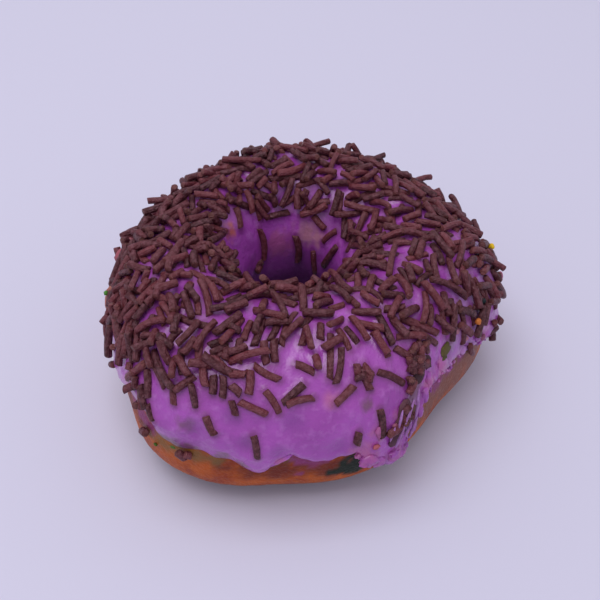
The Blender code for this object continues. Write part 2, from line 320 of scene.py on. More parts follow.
def icing_height(theta, phi):
    """Height of the icing's top over the dough, with a rounded lip at both of its edges."""
    from_edge = SECTION_RADIUS * min(phi - skirt_phi(theta), hole_phi(theta) - phi)
    inward = min(1.0, max(0.0, from_edge / ICING_LIP))
    full = ICING_THICKNESS + icing_swell(theta, phi)
    return ICING_GAP + full * math.sqrt(1.0 - (1.0 - inward) ** 2)


def on_icing(theta, phi):
    """A point on the icing's top."""
    return lifted(theta, phi, icing_height(theta, phi))


def torn(theta):
    """How torn the edge is there, from 0 to 1."""
    return bump(angle_between(math.degrees(theta), TEAR[0]), TEAR[1])


def ragged_phi(theta):
    """The skirt's edge as it shows: a fine ripple all round, and deep nicks where it was torn."""
    around = Vector((math.cos(theta), math.sin(theta), 0)) * math.degrees(1)
    nicks = torn(theta) * (TEAR_LIFT + TEAR_NICKS * noise.fractal(around / TEAR_GRAIN, *NICK_NOISE))
    ripple = EDGE_RIPPLE * noise.noise(around / RIPPLE_GRAIN)
    left = BARE_LEFT[2] * bump(angle_between(math.degrees(theta), BARE_LEFT[0]), BARE_LEFT[1])
    return skirt_phi(theta) + math.radians(nicks + ripple + left)

# %% [markdown]
# ## Laying the sprinkles
#
# Chocolate sprinkles are short rods of about 1.6 mm, cut from an extruded paste. They were poured on while
# the icing was wet, so most lie flat on it, and later ones rest with one end on those below. Each is tried
# at a random place and kept if nothing is in its way, first flat, then tilted, then on top. The front and the
# depths of the hole stayed nearly bare. Those that stand alone there, and the long ones that catch the eye
# on the rim, are listed one by one.

# %% The sprinkles' sizes
SPRINKLE_SEED = 7
SPRINKLE_COUNT = 650
SPRINKLE_RADIUS = 0.80 * MM
SPRINKLE_LENGTHS = (3.2 * MM, 11.5 * MM, 5.2 * MM)  # shortest, longest, most common
SPRINKLE_LIFT = 0.35  # height of the axis over the icing, as a share of the radius
SPRINKLE_SINK = 0.3  # how far a level one sinks where the icing is domed under it, as a share of the dome
SPRINKLE_SPACING = 0.76  # how near two axes come, as a share of the diameter
# How many sprinkles lie under its tail and under its head, in the order in which they are tried.
SPRINKLE_LAYERS = ((0, 0), (0, 1), (1, 0), (1, 1), (0, 2), (2, 0))
SPRINKLE_TOP = 40.3 * MM  # no end's axis lies higher than this
FLANK_LAYERS = 4  # on a flank only this many of them are tried, because a pile would slide off
FLANK_SLOPE = 0.6  # the surface is a flank where its normal's height is less than this
SPRINKLE_TURN = (0.5, 0.3)  # how far one turns from straight down, in half turns, and how much less if steep
BARE_BELOW = 20.0
BARE_FRONT = (276.0, 82.0, 54.0)  # where the front is barest, its half width, and how far up it is bare
BARE_FADE = 12.0
HOLE_BARE_ABOVE = 136.0
HOLE_BARE_SIDE = (158.0, 45.0, 20.0)  # where the hole is barest, its half width, and how far up it is bare
HOLE_FADE = 10.0
# Sprinkles on the front, on the rim and in the hole: theta, phi, turn from along the ring, length in mm.
PLACED_SPRINKLES = (
    (258, 22, 81, 5.4), (247, 33, 59, 4.2), (252, 43, 66, 3.1), (257, 43, 23, 6.0), (262, 46, 54, 5.2),
    (268, 50, 143, 5.6), (270, 46, 170, 5.4), (260, 61, 26, 5.8), (272, 63, 24, 4.0), (276, 66, 88, 2.8),
    (281, 69, 104, 9.4), (283, 63, 112, 7.4), (283, 47, 147, 5.2), (290, 52, 79, 4.6), (298, 47, 44, 6.4),
    (299, 66, 83, 6.0), (285, 22, 107, 2.8), (292, 26, 92, 6.4), (298, 20, 1, 8.0), (232, 28, 53, 3.5),
    (237, 43, 69, 4.0), (239, 50, 126, 4.8), (242, 46, 68, 4.8), (308, 49, 50, 9.2), (229, 40, 61, 5.8),
    (132, 154, 96, 8.6), (85, 163, 82, 7.8), (58, 170, 76, 6.8), (34, 158, 109, 8.0), (70, 131, 146, 7.9),
    (146, 125, 124, 5.0), (105, 137, 176, 5.2), (45, 146, 121, 5.0), (62, 140, 24, 4.2), (97, 108, 1, 8.4),
    (14, 107, 10, 9.0), (202, 114, 14, 10.0), (225, 99, 1, 10.5), (253, 113, 2, 9.0), (284, 113, 176, 9.5),
    (246, 100, 118, 10.0), (305, 95, 54, 8.8), (276, 93, 128, 7.8), (240, 95, 127, 8.2), (223, 88, 50, 7.2),
    (298, 79, 45, 6.6), (261, 85, 104, 6.4), (259, 71, 76, 4.5), (262, 72, 83, 4.4), (236, 59, 60, 5.3),
    (221, 59, 67, 7.5), (215, 50, 78, 5.4), (228, 31, 66, 4.9), (328, 52, 122, 7.4), (333, 77, 3, 5.5),
    (341, 57, 78, 5.5), (348, 48, 101, 6.9), (183, 121, 26, 7.5), (190, 108, 120, 7.6),
)

# %% [markdown]
# A sprinkle is in another's way where their axes come nearer than a layer's height. It rests on the icing at
# its middle where the icing is domed, and at its ends where it is hollow. What is kept of each one is where
# its ends and its middle are, its length, what lies under its tail and head, and which way is up there.

# %% Rest one on the icing
NEARLY_PARALLEL = 1e-14  # two axes this parallel have no single nearest place
NEIGHBOUR_REACH = 4  # how far beyond its end another one's may be in the way, in radii


def sprinkle_cover(theta, phi):
    """How likely one is to stay there, from 0 to 1: few lie low on the front or deep in the hole."""
    at, half_width, lift = BARE_FRONT
    lowest = BARE_BELOW + lift * bump(angle_between(math.degrees(theta), at), half_width)
    on_skirt = min(1.0, max(0.0, (math.degrees(phi) - lowest) / BARE_FADE))
    at, half_width, lift = HOLE_BARE_SIDE
    highest = HOLE_BARE_ABOVE - lift * bump(angle_between(math.degrees(theta), at), half_width)
    in_hole = min(1.0, max(0.0, (highest - math.degrees(phi)) / HOLE_FADE))
    return on_skirt * in_hole


def nearest_gap(a, b):
    """Shortest distance between two straight pieces, each a pair of end points."""
    start, run = a[0], a[1] - a[0]
    other, reach = b[0], b[1] - b[0]
    apart = start - other
    rr, ss, rs = run.dot(run), reach.dot(reach), run.dot(reach)
    ra, sa = run.dot(apart), reach.dot(apart)
    spread = rr * ss - rs * rs
    t = min(1.0, max(0.0, (rs * sa - ss * ra) / spread)) if spread > NEARLY_PARALLEL else 0.0
    u = min(1.0, max(0.0, (rs * t + sa) / ss))
    t = min(1.0, max(0.0, (rs * u - ra) / rr))
    return (apart + run * t - reach * u).length


def lay_sprinkle(theta, phi, turn, length, placed):
    """Rests a sprinkle on the icing, or on those already there. Returns its ends and layers, or None."""
    normal = ring_frame(theta, phi)[2]
    middle = on_icing(theta, phi)
    around, across = ring_stretch(theta, phi)
    aside, below = length / 2 * math.cos(turn) / around, length / 2 * math.sin(turn) / across
    head, tail = on_icing(theta + aside, phi - below), on_icing(theta - aside, phi + below)
    hollow = ((head + tail) / 2 - middle).dot(normal)
    half = (head - tail).normalized() * length / 2
    reach = length / 2 + NEIGHBOUR_REACH * SPRINKLE_RADIUS
    near = [s for s in placed if (s["middle"] - middle).length < s["length"] / 2 + reach]
    layer = 2 * SPRINKLE_RADIUS * SPRINKLE_SPACING
    tried = SPRINKLE_LAYERS if normal.z > FLANK_SLOPE else SPRINKLE_LAYERS[:FLANK_LAYERS]
    for low, high in tried:
        sink = SPRINKLE_SINK if low == high and hollow < 0 else 1.0
        rest = middle + normal * (SPRINKLE_LIFT * SPRINKLE_RADIUS + sink * hollow)
        ends = (rest - half + normal * low * layer, rest + half + normal * high * layer)
        low_enough = max(end.z for end in ends) <= SPRINKLE_TOP
        if low_enough and all(nearest_gap(ends, s["ends"]) >= layer for s in near):
            middle = (ends[0] + ends[1]) / 2
            return {"ends": ends, "middle": middle, "length": length, "layers": (low, high), "up": normal}
    return None

# %% Lay them all
def scatter_sprinkles():
    """First the sprinkles that are listed, then random ones until there are enough."""
    draw = random.Random(SPRINKLE_SEED)
    shortest, longest, common = SPRINKLE_LENGTHS
    on_crown, less_on_flank = SPRINKLE_TURN
    reach = RING_RADIUS + ICING_THICKNESS
    placed = []
    for theta, phi, turn, length in PLACED_SPRINKLES:
        laid = lay_sprinkle(math.radians(theta), math.radians(phi), math.radians(turn), length * MM, placed)
        if laid:
            placed.append(laid)
    while len(placed) < SPRINKLE_COUNT:
        theta, phi = draw.uniform(0, math.tau), draw.uniform(0, math.pi)
        steep = 1.0 - max(0.0, ring_frame(theta, phi)[2].z)
        turn = math.pi / 2 + draw.uniform(-1, 1) * math.pi * (on_crown - less_on_flank * steep)
        length = draw.triangular(shortest, longest, common)
        keep = draw.random()
        point = ring_point(theta, phi)
        if keep > sprinkle_cover(theta, phi) * math.hypot(point.x, point.y) / reach:
            continue
        laid = lay_sprinkle(theta, phi, turn, length, placed)
        if laid:
            placed.append(laid)
    return placed


sprinkles = scatter_sprinkles()
print(len(sprinkles), "sprinkles,", sum(0 in s["layers"] for s in sprinkles), "of them touch the icing")

# %% [markdown]
# ## Sprinkles that stick out
#
# A few caught by one end only and stand out over the rim, where they break the ring's outline. Each has the
# theta and phi of its caught end, its turn from along the ring, its length and how steeply it rises. Four
# more lie flatter, on top of the others, and close a bare place at the left.

# %% Proud sprinkles
PROUD = (
    (109, 91, 14, 9.6, 8), (98, 71, 60, 3.4, 30), (200, 93, 30, 6.0, 0), (193, 86, 118, 5.0, 2),
    (205, 98, 96, 5.6, 0), (134, 68, 12, 4.0, 16), (154, 77, 62, 6.6, 16), (159, 78, 42, 6.4, 12),
    (42, 60, 95, 4.6, 32), (22, 50, 5, 6.6, 14), (12, 46, 4, 5.4, 8), (196, 30, 80, 2.4, 30),
    (171, 60, 80, 4.5, 18),
    (211, 82, 40, 5.2, 8), (217, 87, 110, 5.6, 6), (219, 80, 15, 4.8, 8), (214, 78, 75, 4.4, 6),  # the four
    (60, 66, 100, 4.0, 24), (84, 70, 150, 4.6, 18), (3, 40, 95, 3.6, 25), (140, 64, 110, 3.8, 22),
)
PROUD_LIFT = 2  # how far the axis of the caught end lies over the icing, in radii


def heading(theta, phi, turn, rise):
    """The direction with that turn from along the ring and that rise from it, and the one straight out."""
    along, down, normal = ring_frame(theta, phi)
    level = along * math.cos(turn) + down * math.sin(turn)
    return level * math.cos(rise) + normal * math.sin(rise), normal


def proud_sprinkle(theta, phi, turn, length, rise):
    """A sprinkle caught at that place, rising from the icing by that many degrees."""
    theta, phi, turn, rise = (math.radians(angle) for angle in (theta, phi, turn, rise))
    way, normal = heading(theta, phi, turn, rise)
    foot = lifted(theta, phi, icing_height(theta, phi) + PROUD_LIFT * SPRINKLE_RADIUS)
    ends = (foot, foot + way * length * MM)
    middle = (ends[0] + ends[1]) / 2
    return {"ends": ends, "middle": middle, "length": length * MM, "layers": (1, 2), "up": normal}


proud = [proud_sprinkle(*row) for row in PROUD]
highest = max(end.z for laid in proud for end in laid["ends"])
print(len(proud), "stick out, up to", round(1000 * highest, 1), "mm high")

# %% [markdown]
# ## A stray row at the front
#
# Below the pile at the front, short sprinkles stuck one by one, most of them pointing down the side. Each is
# laid between two places: the theta and phi of one end, then those of the other.

# %% The row at the front
FRONT_ROW = (
    (242, 61.5, 244.5, 51.5), (245.5, 57.5, 246.5, 48.5), (248, 58, 249, 47.5), (243.5, 66, 248.5, 60.5),
    (249.5, 59, 254, 59.5), (255, 62, 255.5, 50), (250.5, 54, 253.5, 50), (247, 72, 247.5, 65.5),
    (250, 77.5, 251.5, 65), (227.5, 37.5, 230.5, 29), (336, 22, 340, 9),
)
ROW_LIFT = 0.9  # height of the axis over the icing, in radii


def laid_between(from_theta, from_phi, to_theta, to_phi):
    """A sprinkle on the icing between those two places."""
    ends = []
    for theta, phi in ((from_theta, from_phi), (to_theta, to_phi)):
        theta, phi = math.radians(theta), math.radians(phi)
        ends.append(lifted(theta, phi, icing_height(theta, phi) + ROW_LIFT * SPRINKLE_RADIUS))
    middle = (ends[0] + ends[1]) / 2
    length = (ends[1] - ends[0]).length
    normal = ring_frame(theta, phi)[2]
    return {"ends": ends, "middle": middle, "length": length, "layers": (0, 0), "up": normal}


front_row = [laid_between(*row) for row in FRONT_ROW]
print(len(front_row), "lie in the row at the front")

# %% [markdown]
# ## Broken sprinkles
#
# Where the icing was torn, at the left front and in the hole, sprinkles were crushed into short bits that lie
# at all angles. A heap is its theta and phi, how far it spreads in each, and how many bits lie in it. Single
# bits stick to the dough and to the icing's edge.

# %% Heaps of broken sprinkles
HEAPS = (
    (308, 45, 5, 7, 16), (303, 38, 4, 4, 5), (312, 52, 5, 6, 8), (289, 56, 2, 6, 5), (217, 41, 4, 5, 6),
    (225, 33, 3, 5, 5), (145, 169, 3, 4, 3), (228, 8, 0, 0, 1), (241, 9, 1, 1, 2), (352, 10, 3, 8, 4),
    (196, 24, 1, 1, 1), (206, 14, 1, 1, 1), (356, 27, 1, 1, 1), (299, 22, 3, 7, 9),
)
BIT_LENGTHS = (1.4 * MM, 3.4 * MM)
BIT_STEEPNESS = 0.45  # the most that one points up or down, beside up to 1 along the ring and 1 across it
BIT_LIFTS = (0.3, 1.1)  # height of the axis over the icing, in radii
BROKEN_SEED = SPRINKLE_SEED + 2


def broken_sprinkle(theta, phi, draw):
    """A short bit at that place, pointing anywhere."""
    along, down, normal = ring_frame(theta, phi)
    way = along * draw.uniform(-1, 1) + down * draw.uniform(-1, 1)
    way += normal * draw.uniform(-BIT_STEEPNESS, BIT_STEEPNESS)
    length = draw.uniform(*BIT_LENGTHS)
    middle = lifted(theta, phi, icing_height(theta, phi) + draw.uniform(*BIT_LIFTS) * SPRINKLE_RADIUS)
    half = way.normalized() * length / 2
    ends = (middle - half, middle + half)
    return {"ends": ends, "middle": middle, "length": length, "layers": (0, 0), "up": normal}


draw = random.Random(BROKEN_SEED)
broken = []
for theta, phi, theta_spread, phi_spread, count in HEAPS:
    for _ in range(count):
        at = math.radians(draw.gauss(theta, theta_spread / 2)), math.radians(draw.gauss(phi, phi_spread / 2))
        broken.append(broken_sprinkle(*at, draw))
print(len(broken), "broken bits")

# %% [markdown]
# ## Loose short sprinkles
#
# A pile is never only flat rods: short bits fall into the gaps and stay standing on one end, leaning over
# the others. Each is tried at a random place, and kept if its foot finds a gap and its axis goes clear of
# the others. A search tree of points along all the axes makes that quick to ask.

# %% Loose short sprinkles
LOOSE_TRIES = 12000
LOOSE_MOST = 150
LOOSE_LENGTHS = (2.2 * MM, 4.6 * MM)
LOOSE_RISE = (10, 38)  # how steeply they rise, in degrees
LOOSE_PHI = (36, 150)
LOOSE_SIDE = (165, 125)  # where most of them fell, and the half width of that side, in degrees
LOOSE_SEED = SPRINKLE_SEED + 4
FOOT_GAP, TIP_GAP = 1.15 * MM, 1.2 * MM  # how far its two ends stay from the axes of the others
AXIS_STEP = 0.5 * MM  # the most between two points along an axis
PILE_TOP = 41.8 * MM  # nothing on the crown stands higher


def axis_tree(laid):
    """A search tree of points along the axes of those sprinkles."""
    points = []
    for sprinkle in laid:
        count = int(sprinkle["length"] / AXIS_STEP) + 1
        points += [sprinkle["ends"][0].lerp(sprinkle["ends"][1], i / count) for i in range(count + 1)]
    tree = KDTree(len(points))
    for index, point in enumerate(points):
        tree.insert(point, index)
    tree.balance()
    return tree


def loose_sprinkle(draw, tree):
    """A short sprinkle in a gap, or None if there is none at the place that was drawn."""
    theta, phi = draw.uniform(0, math.tau), math.radians(draw.uniform(*LOOSE_PHI))
    turn, rise = draw.uniform(0, math.tau), math.radians(draw.uniform(*LOOSE_RISE))
    length, keep = draw.uniform(*LOOSE_LENGTHS), draw.random()
    way, normal = heading(theta, phi, turn, rise)
    foot = lifted(theta, phi, icing_height(theta, phi) + SPRINKLE_RADIUS)
    tip = foot + way * length
    side = bump(angle_between(math.degrees(theta), LOOSE_SIDE[0]), LOOSE_SIDE[1])
    stays = keep < sprinkle_cover(theta, phi) ** 2 * side
    clear = tree.find(foot)[2] > FOOT_GAP and tree.find(tip)[2] > TIP_GAP
    if not stays or not clear or tip.z > PILE_TOP - SPRINKLE_RADIUS:
        return None
    return {"ends": (foot, tip), "middle": (foot + tip) / 2, "length": length, "layers": (0, 1), "up": normal}


def lay_loose(draw):
    """Loose sprinkles in the gaps, none nearer to another than their feet allow."""
    tree = axis_tree(sprinkles + proud + front_row + broken)
    kept = []
    for _ in range(LOOSE_TRIES):
        found = loose_sprinkle(draw, tree)
        if found and all((found["middle"] - other["middle"]).length > 2 * FOOT_GAP for other in kept):
            kept.append(found)
    return kept[:LOOSE_MOST]


loose = lay_loose(random.Random(LOOSE_SEED))
print(len(loose), "loose short sprinkles")

# %% [markdown]
# ## The icing
#
# Its section runs over the top from the skirt into the hole and back along the dough. Set icing is not
# smooth: it sags into slow lumps, and it creeps a little way up whatever was pressed into it while it was
# wet. So the points near a sprinkle are raised, which gives each one a soft collar. Where the icing was
# torn or pressed by a hand, it is crumpled.

# %% The icing's lumps, folds and dimples
ICING_FACES = (120, 48, 3)  # round the ring, round its section, and how often each is cut
TOP_SHARE = 0.86  # the share of the section's points that go to the icing's top
EDGE_CROWDING = 0.55  # how much closer together the points are at the icing's edges
UNDER_GAP = 0.05 * MM  # how far the icing's underside stays off the dough
UNDER_INSET = 0.25  # how far under the icing its underside begins, as a share of the lip
LUMP_SIZE, LUMP_HEIGHT = 8 * MM, 0.42 * MM
GRAIN_SIZE, GRAIN_HEIGHT = 2.4 * MM, 0.10 * MM
COLLAR_HEIGHT, COLLAR_REACH = 0.34 * MM, 0.5 * MM
RIDGE_HEIGHT, RIDGE_WIDTH = 0.7 * MM, 1.5 * MM
RIDGE_EVEN, RIDGE_CRUMPLED = 0.5, 1.2  # how much of the ridge along the tear is even, and how much is folds
# A crumpled patch is its theta and phi, its half widths in degrees and how deep its folds are.
CRUMPLES = (
    (318, 26, 26, 20, 0.5 * MM), (303, 18, 12, 18, 0.6 * MM), (222, 34, 14, 16, 0.45 * MM),
    (342, 22, 14, 20, 0.6 * MM), (290, 40, 10, 12, 0.3 * MM), (250, 30, 12, 12, 0.25 * MM),
)
FOLD_SIZE = 2.4 * MM
FOLD_CREST, FOLD_CREASE = 0.5, 2.0  # how far a fold stands up and how deep it is creased, in its depths
# A dimple or a swelling is its theta and phi, its half width and its height.
DIMPLES = (
    (243, 29, 3.6 * MM, -0.85 * MM), (252, 37, 3.5 * MM, -0.7 * MM), (262, 20, 5 * MM, 0.5 * MM),
    (276, 30, 6 * MM, 0.55 * MM), (268, 33, 4 * MM, -0.65 * MM), (284, 38, 4 * MM, 0.6 * MM),
    (293, 40, 3 * MM, 0.5 * MM), (234, 26, 4 * MM, 0.35 * MM), (280, 17, 4 * MM, -0.3 * MM),
    (264, 17, 3 * MM, -0.6 * MM), (256, 22, 3 * MM, -0.5 * MM), (249, 20, 3 * MM, 0.4 * MM),
)


def over_dough(theta, phi, height=ICING_THICKNESS):
    """A point over the dough, from two angles in degrees."""
    return lifted(math.radians(theta), math.radians(phi), height)


pressed_in = [laid for laid in sprinkles + front_row + broken + loose if sum(laid["layers"]) < 2]
axes = axis_tree(pressed_in)
dimples = [(over_dough(theta, phi), size, depth) for theta, phi, size, depth in DIMPLES]
print(len(pressed_in), "sprinkles and bits are near enough to the icing for a collar")

# %% The icing's relief
def crumpling(theta, phi):
    """How deep the icing's folds are there."""
    theta, phi = math.degrees(theta), math.degrees(phi)
    deepest = 0.0
    for at, up, half_width, half_height, depth in CRUMPLES:
        here = depth * bump(angle_between(theta, at), half_width) * bump(phi - up, half_height)
        deepest = max(deepest, here)
    return deepest


def icing_relief(theta, phi, point, from_edge):
    """What the icing's lumps, grain, collars, dimples, folds and torn ridge add to its height."""
    lumps = LUMP_HEIGHT * noise.noise(point / LUMP_SIZE)
    grain = GRAIN_HEIGHT * noise.noise(point / GRAIN_SIZE)
    beyond = axes.find(point)[2] - SPRINKLE_RADIUS
    collar = COLLAR_HEIGHT * math.exp(-max(0.0, beyond) / COLLAR_REACH)
    pressed = sum(depth * bump((point - at).length, size) for at, size, depth in dimples)
    folded = abs(noise.noise(point / FOLD_SIZE))
    folds = crumpling(theta, phi) * (FOLD_CREST - FOLD_CREASE * folded)
    crumpled = RIDGE_EVEN + RIDGE_CRUMPLED * folded
    ridge = RIDGE_HEIGHT * crumpled * torn(theta) * bump(from_edge - RIDGE_WIDTH, RIDGE_WIDTH)
    return min(1.0, from_edge / ICING_LIP) * (lumps + grain + collar + pressed + folds) + ridge

# %% The icing's surface
def icing_place(theta, turn):
    """The icing's surface, at a share of one turn round its section."""
    start, end = ragged_phi(theta), hole_phi(theta)
    if turn < TOP_SHARE:
        over = turn / TOP_SHARE
        over -= EDGE_CROWDING * math.sin(math.tau * over) / math.tau
        phi = start + (end - start) * over
        from_edge = SECTION_RADIUS * min(phi - start, end - phi)
        at, half_width, run_out = THIN_EDGE
        thin = bump(angle_between(math.degrees(theta), at), half_width) if phi < math.pi / 2 else 0.0
        inward = min(1.0, max(0.0, from_edge / (ICING_LIP + thin * run_out)))
        rise = (1 - thin) * math.sqrt(1.0 - (1.0 - inward) ** 2) + thin * inward
        full = ICING_GAP + ICING_THICKNESS + icing_swell(theta, phi) - UNDER_GAP
        point = lifted(theta, phi, UNDER_GAP + full * rise)
        return point + ring_frame(theta, phi)[2] * icing_relief(theta, phi, point, from_edge)
    back = (turn - TOP_SHARE) / (1 - TOP_SHARE)
    inset = UNDER_INSET * ICING_LIP / SECTION_RADIUS
    phi = end - inset + (start - end + 2 * inset) * back
    return lifted(theta, phi, UNDER_GAP)


icing = shaped_torus("icing_coat", *ICING_FACES, icing_place)
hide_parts("icing")
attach(icing, "root")

# %% [markdown]
# ## Colours
#
# Colours are written as the hex values that a picture is measured in. Shaders want linear light, so one
# function turns each of them, by the curve that the sRGB standard gives.

# %% From hex to linear
def linear(hex_colour):
    """An sRGB colour such as "9a5fab" as linear RGBA."""
    values = [int(hex_colour[i : i + 2], 16) / 255 for i in (0, 2, 4)]
    return tuple(v / 12.92 if v <= 0.04045 else ((v + 0.055) / 1.055) ** 2.4 for v in values) + (1.0,)

# %% [markdown]
# ## Lumps and crumbs
#
# A lump of icing, a crumb or a bead of sugar is one thing in different sizes: an icosphere stretched to its
# three half sizes, roughened by noise, and set on the ring. Joining them keeps each kind to one piece.

# %% Make and join lumps
LUMP_GRAIN = 1.3  # how fine a lump's roughness is: the noise's waves for each of its half sizes
LUMP_NOISE = (0.6, 2.1, 3)  # how fast its finer waves fade, how much finer each is, and how many it has
LUMP_VARIETY = 3 / MM  # how far the noise moves on from lump to lump, for each metre between them
SHARP_LUMP = 60  # a lump's edges under this many degrees are smooth


def join_as(name, objects, sharp_angle):
    """Joins the objects into one piece, smooth but for edges sharper than that many degrees."""
    bpy.ops.object.select_all(action="DESELECT")
    for obj in objects:
        obj.select_set(True)
    bpy.context.view_layer.objects.active = objects[0]
    bpy.ops.object.join()
    joined = bpy.context.object
    joined.name = name
    turn_outwards(joined)
    bpy.ops.object.shade_smooth_by_angle(angle=math.radians(sharp_angle))
    return joined


def make_lump(theta, phi, halves, lift=0.5, cuts=3, rough=0.34, tint=None, turn=0):
    """A lump with half sizes in mm along the ring, down it and out of it.

    It is turned by turn degrees, and lifted over the icing by lift times its last half size."""
    theta, phi = math.radians(theta), math.radians(phi)
    along, down, normal = ring_frame(theta, phi)
    twist = Quaternion(normal, math.radians(turn))
    along, down = twist @ along, twist @ down
    bpy.ops.object.select_all(action="DESELECT")
    bpy.ops.mesh.primitive_ico_sphere_add(subdivisions=cuts, radius=1.0)
    lump = bpy.context.object
    middle = lifted(theta, phi, icing_height(theta, phi) + lift * halves[2] * MM)
    for vertex in lump.data.vertices:
        ball = vertex.co.copy()
        ball *= 1 + rough * noise.fractal(ball * LUMP_GRAIN + middle * LUMP_VARIETY, *LUMP_NOISE)
        offset = along * ball.x * halves[0] + down * ball.y * halves[1] + normal * ball.z * halves[2]
        vertex.co = middle + offset * MM
    if tint:
        colours = lump.data.attributes.new("tint", "FLOAT_COLOR", "POINT")
        colours.data.foreach_set("color", list(linear(tint)) * len(lump.data.vertices))
    return lump

# %% [markdown]
# Two clumps of icing hang at the front, with a knob beside them. One fold of it stands to the right of the
# drip, and another along the tear. Smaller crumbs of icing cling to the ragged edge.

# %% Clumps of icing
# Each is its theta and phi, and its half sizes in mm.
CLUMPS = (
    (288, 5, (2.3, 1.5, 1.0)), (291, 1, (1.6, 1.5, 1.0)), (286, 8, (1.2, 0.9, 0.7)),
    (296, 1, (2.0, 1.8, 1.1)), (299, -4, (1.6, 1.5, 1.0)), (303, -8, (1.0, 0.8, 0.7)),
    (301, 3, (1.2, 1.6, 0.8)), (303, 10, (0.8, 1.7, 0.7)), (306, 17, (0.8, 1.8, 0.7)),
    (309, 23, (0.8, 1.9, 0.8)), (312, 29, (1.0, 1.9, 0.7)), (321, 27, (1.9, 1.8, 0.5)),
    (333, 22, (1.3, 0.9, 0.6)), (341, 20, (1.2, 1.0, 0.6)),
)
CLUMP_LIFT, CRUMB_LIFT = 0.1, 0.3
DRIP_FOLD = (264.5, 10.5, (2.6, 0.75, 0.6))  # the fold beside the drip, and how far it is turned
DRIP_FOLD_TURN = 32
CRUMBS_AT_TEAR = 34
CRUMB_THETA = (292, 348)
CRUMB_PHI = (-3, 6)  # how far from the ragged edge they lie
CRUMB_HALVES = (0.2, 0.6)
CLUMP_SEED = SPRINKLE_SEED + 3


def make_clumps(draw):
    """The clumps, the fold beside the drip and the crumbs at the tear, as one piece."""
    clumps = [make_lump(theta, phi, halves, lift=CLUMP_LIFT) for theta, phi, halves in CLUMPS]
    clumps.append(make_lump(*DRIP_FOLD, turn=DRIP_FOLD_TURN))
    for _ in range(CRUMBS_AT_TEAR):
        theta = draw.uniform(*CRUMB_THETA)
        phi = math.degrees(ragged_phi(math.radians(theta))) + draw.uniform(*CRUMB_PHI)
        halves = [draw.uniform(*CRUMB_HALVES) for _ in range(3)]
        clumps.append(make_lump(theta, phi, halves, lift=CRUMB_LIFT, cuts=2))
    return join_as("icing_clumps", clumps, SHARP_LUMP)


clumps = make_clumps(random.Random(CLUMP_SEED))
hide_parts("icing")
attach(clumps, "root")

# %% [markdown]
# ## Bits of other toppings
#
# Other toppings left their traces on this ring: a yellow bead, pink flakes, green specks, an olive shred and
# salmon-coloured pieces on the left. Each is a lump with its own colour, kept on its points. At the tear the
# crushed sprinkles are smeared into a dark film, and pale streaks of icing are dragged over it.

# %% Stray bits
# Each is its theta and phi, its half sizes in mm, its lift in half sizes, and its colour.
STRAY_BITS = (
    # the dark film at the tear
    (298, 18, (2.1, 2.5, 0.45), 0.4, "643a44"), (300, 26, (2.0, 2.1, 0.5), 0.4, "66404a"),
    (296, 11, (1.8, 1.7, 0.4), 0.4, "5c3446"), (303, 21, (1.3, 1.6, 0.4), 0.4, "6b4a42"),
    (291, 21, (0.8, 1.7, 0.6), 0.4, "b0629a"), (313, 40, (1.5, 1.6, 0.5), 0.3, "44202a"),
    (308, 38, (1.8, 1.8, 0.5), 0.3, "40202a"),
    # on the right: the bead, a pink flake, a teal tip and an orange one, the olive shred, and two pink flakes
    (11, 35, (0.7, 0.7, 0.7), 3.4, "f0c80c"), (5, 24, (0.6, 1.2, 0.5), 3.6, "c07898"),
    (348, 37, (0.8, 0.8, 0.7), 0.5, "1d3438"), (340, 34, (0.8, 0.8, 0.6), 3.0, "d07a34"),
    (324, 34, (1.9, 1.4, 0.35), 0.4, "5d5222"), (322, 30, (1.2, 0.9, 0.3), 0.4, "4c4a1e"),
    (332, 38, (0.9, 0.8, 0.5), 0.5, "c98aa2"), (335, 28, (0.9, 0.7, 0.5), 0.5, "c58196"),
    # on the left: the salmon-coloured pieces, with a green speck between them
    (190, 30, (1.0, 2.2, 1.4), 0.9, "b9776c"), (188, 34, (0.8, 1.5, 1.3), 1.1, "b87a6c"),
    (189, 34, (0.6, 0.6, 0.5), 5.2, "4c8a2c"), (178, 46, (1.2, 2.4, 1.5), 0.9, "b0606c"),
    (174, 50, (1.0, 2.0, 1.3), 1.0, "a8606c"),
    # green specks on the bare dough, and small flakes at the front and the right
    (231, 3, (0.5, 0.4, 0.3), 0.2, "4f6f1c"), (238, 13, (0.7, 0.3, 0.25), 0.3, "4a6a24"),
    (290, 13, (0.8, 0.6, 0.5), 0.5, "b65f6c"), (296, 20, (0.7, 0.9, 0.5), 0.5, "b8708c"),
    (344, 16, (0.9, 0.7, 0.5), 0.4, "9a5f78"), (338, 14, (0.8, 0.7, 0.5), 0.4, "7f5a3c"),
)
# A streak is its theta and phi, its half length in mm and its turn in degrees.
STREAKS = (
    (296, 14, 2.4, 58), (298, 20, 3.4, 56), (300, 24, 3.2, 56), (303, 24, 2.4, 60), (301, 15, 2.8, 54),
    (297, 25, 2.0, 62), (294, 19, 1.8, 60), (304, 30, 2.0, 60), (299, 17, 2.0, 48),
)
STREAK_WIDTH, STREAK_HEIGHT = 0.24, 0.34  # half sizes in mm
STREAK_LIFT = 4.2
STREAK_COLOUR = "a878b8"
BIT_ROUGHNESS, STREAK_ROUGHNESS = 0.3, 0.2

bits = [
    make_lump(theta, phi, halves, lift, cuts=2, rough=BIT_ROUGHNESS, tint=hue)
    for theta, phi, halves, lift, hue in STRAY_BITS
]
for theta, phi, half_length, turn in STREAKS:
    halves = (half_length, STREAK_WIDTH, STREAK_HEIGHT)
    streak = make_lump(
        theta, phi, halves, STREAK_LIFT, cuts=2, rough=STREAK_ROUGHNESS, tint=STREAK_COLOUR, turn=turn
    )
    bits.append(streak)
stray = join_as("stray_bits", bits, SHARP_LUMP)
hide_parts("icing")
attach(stray, "root")

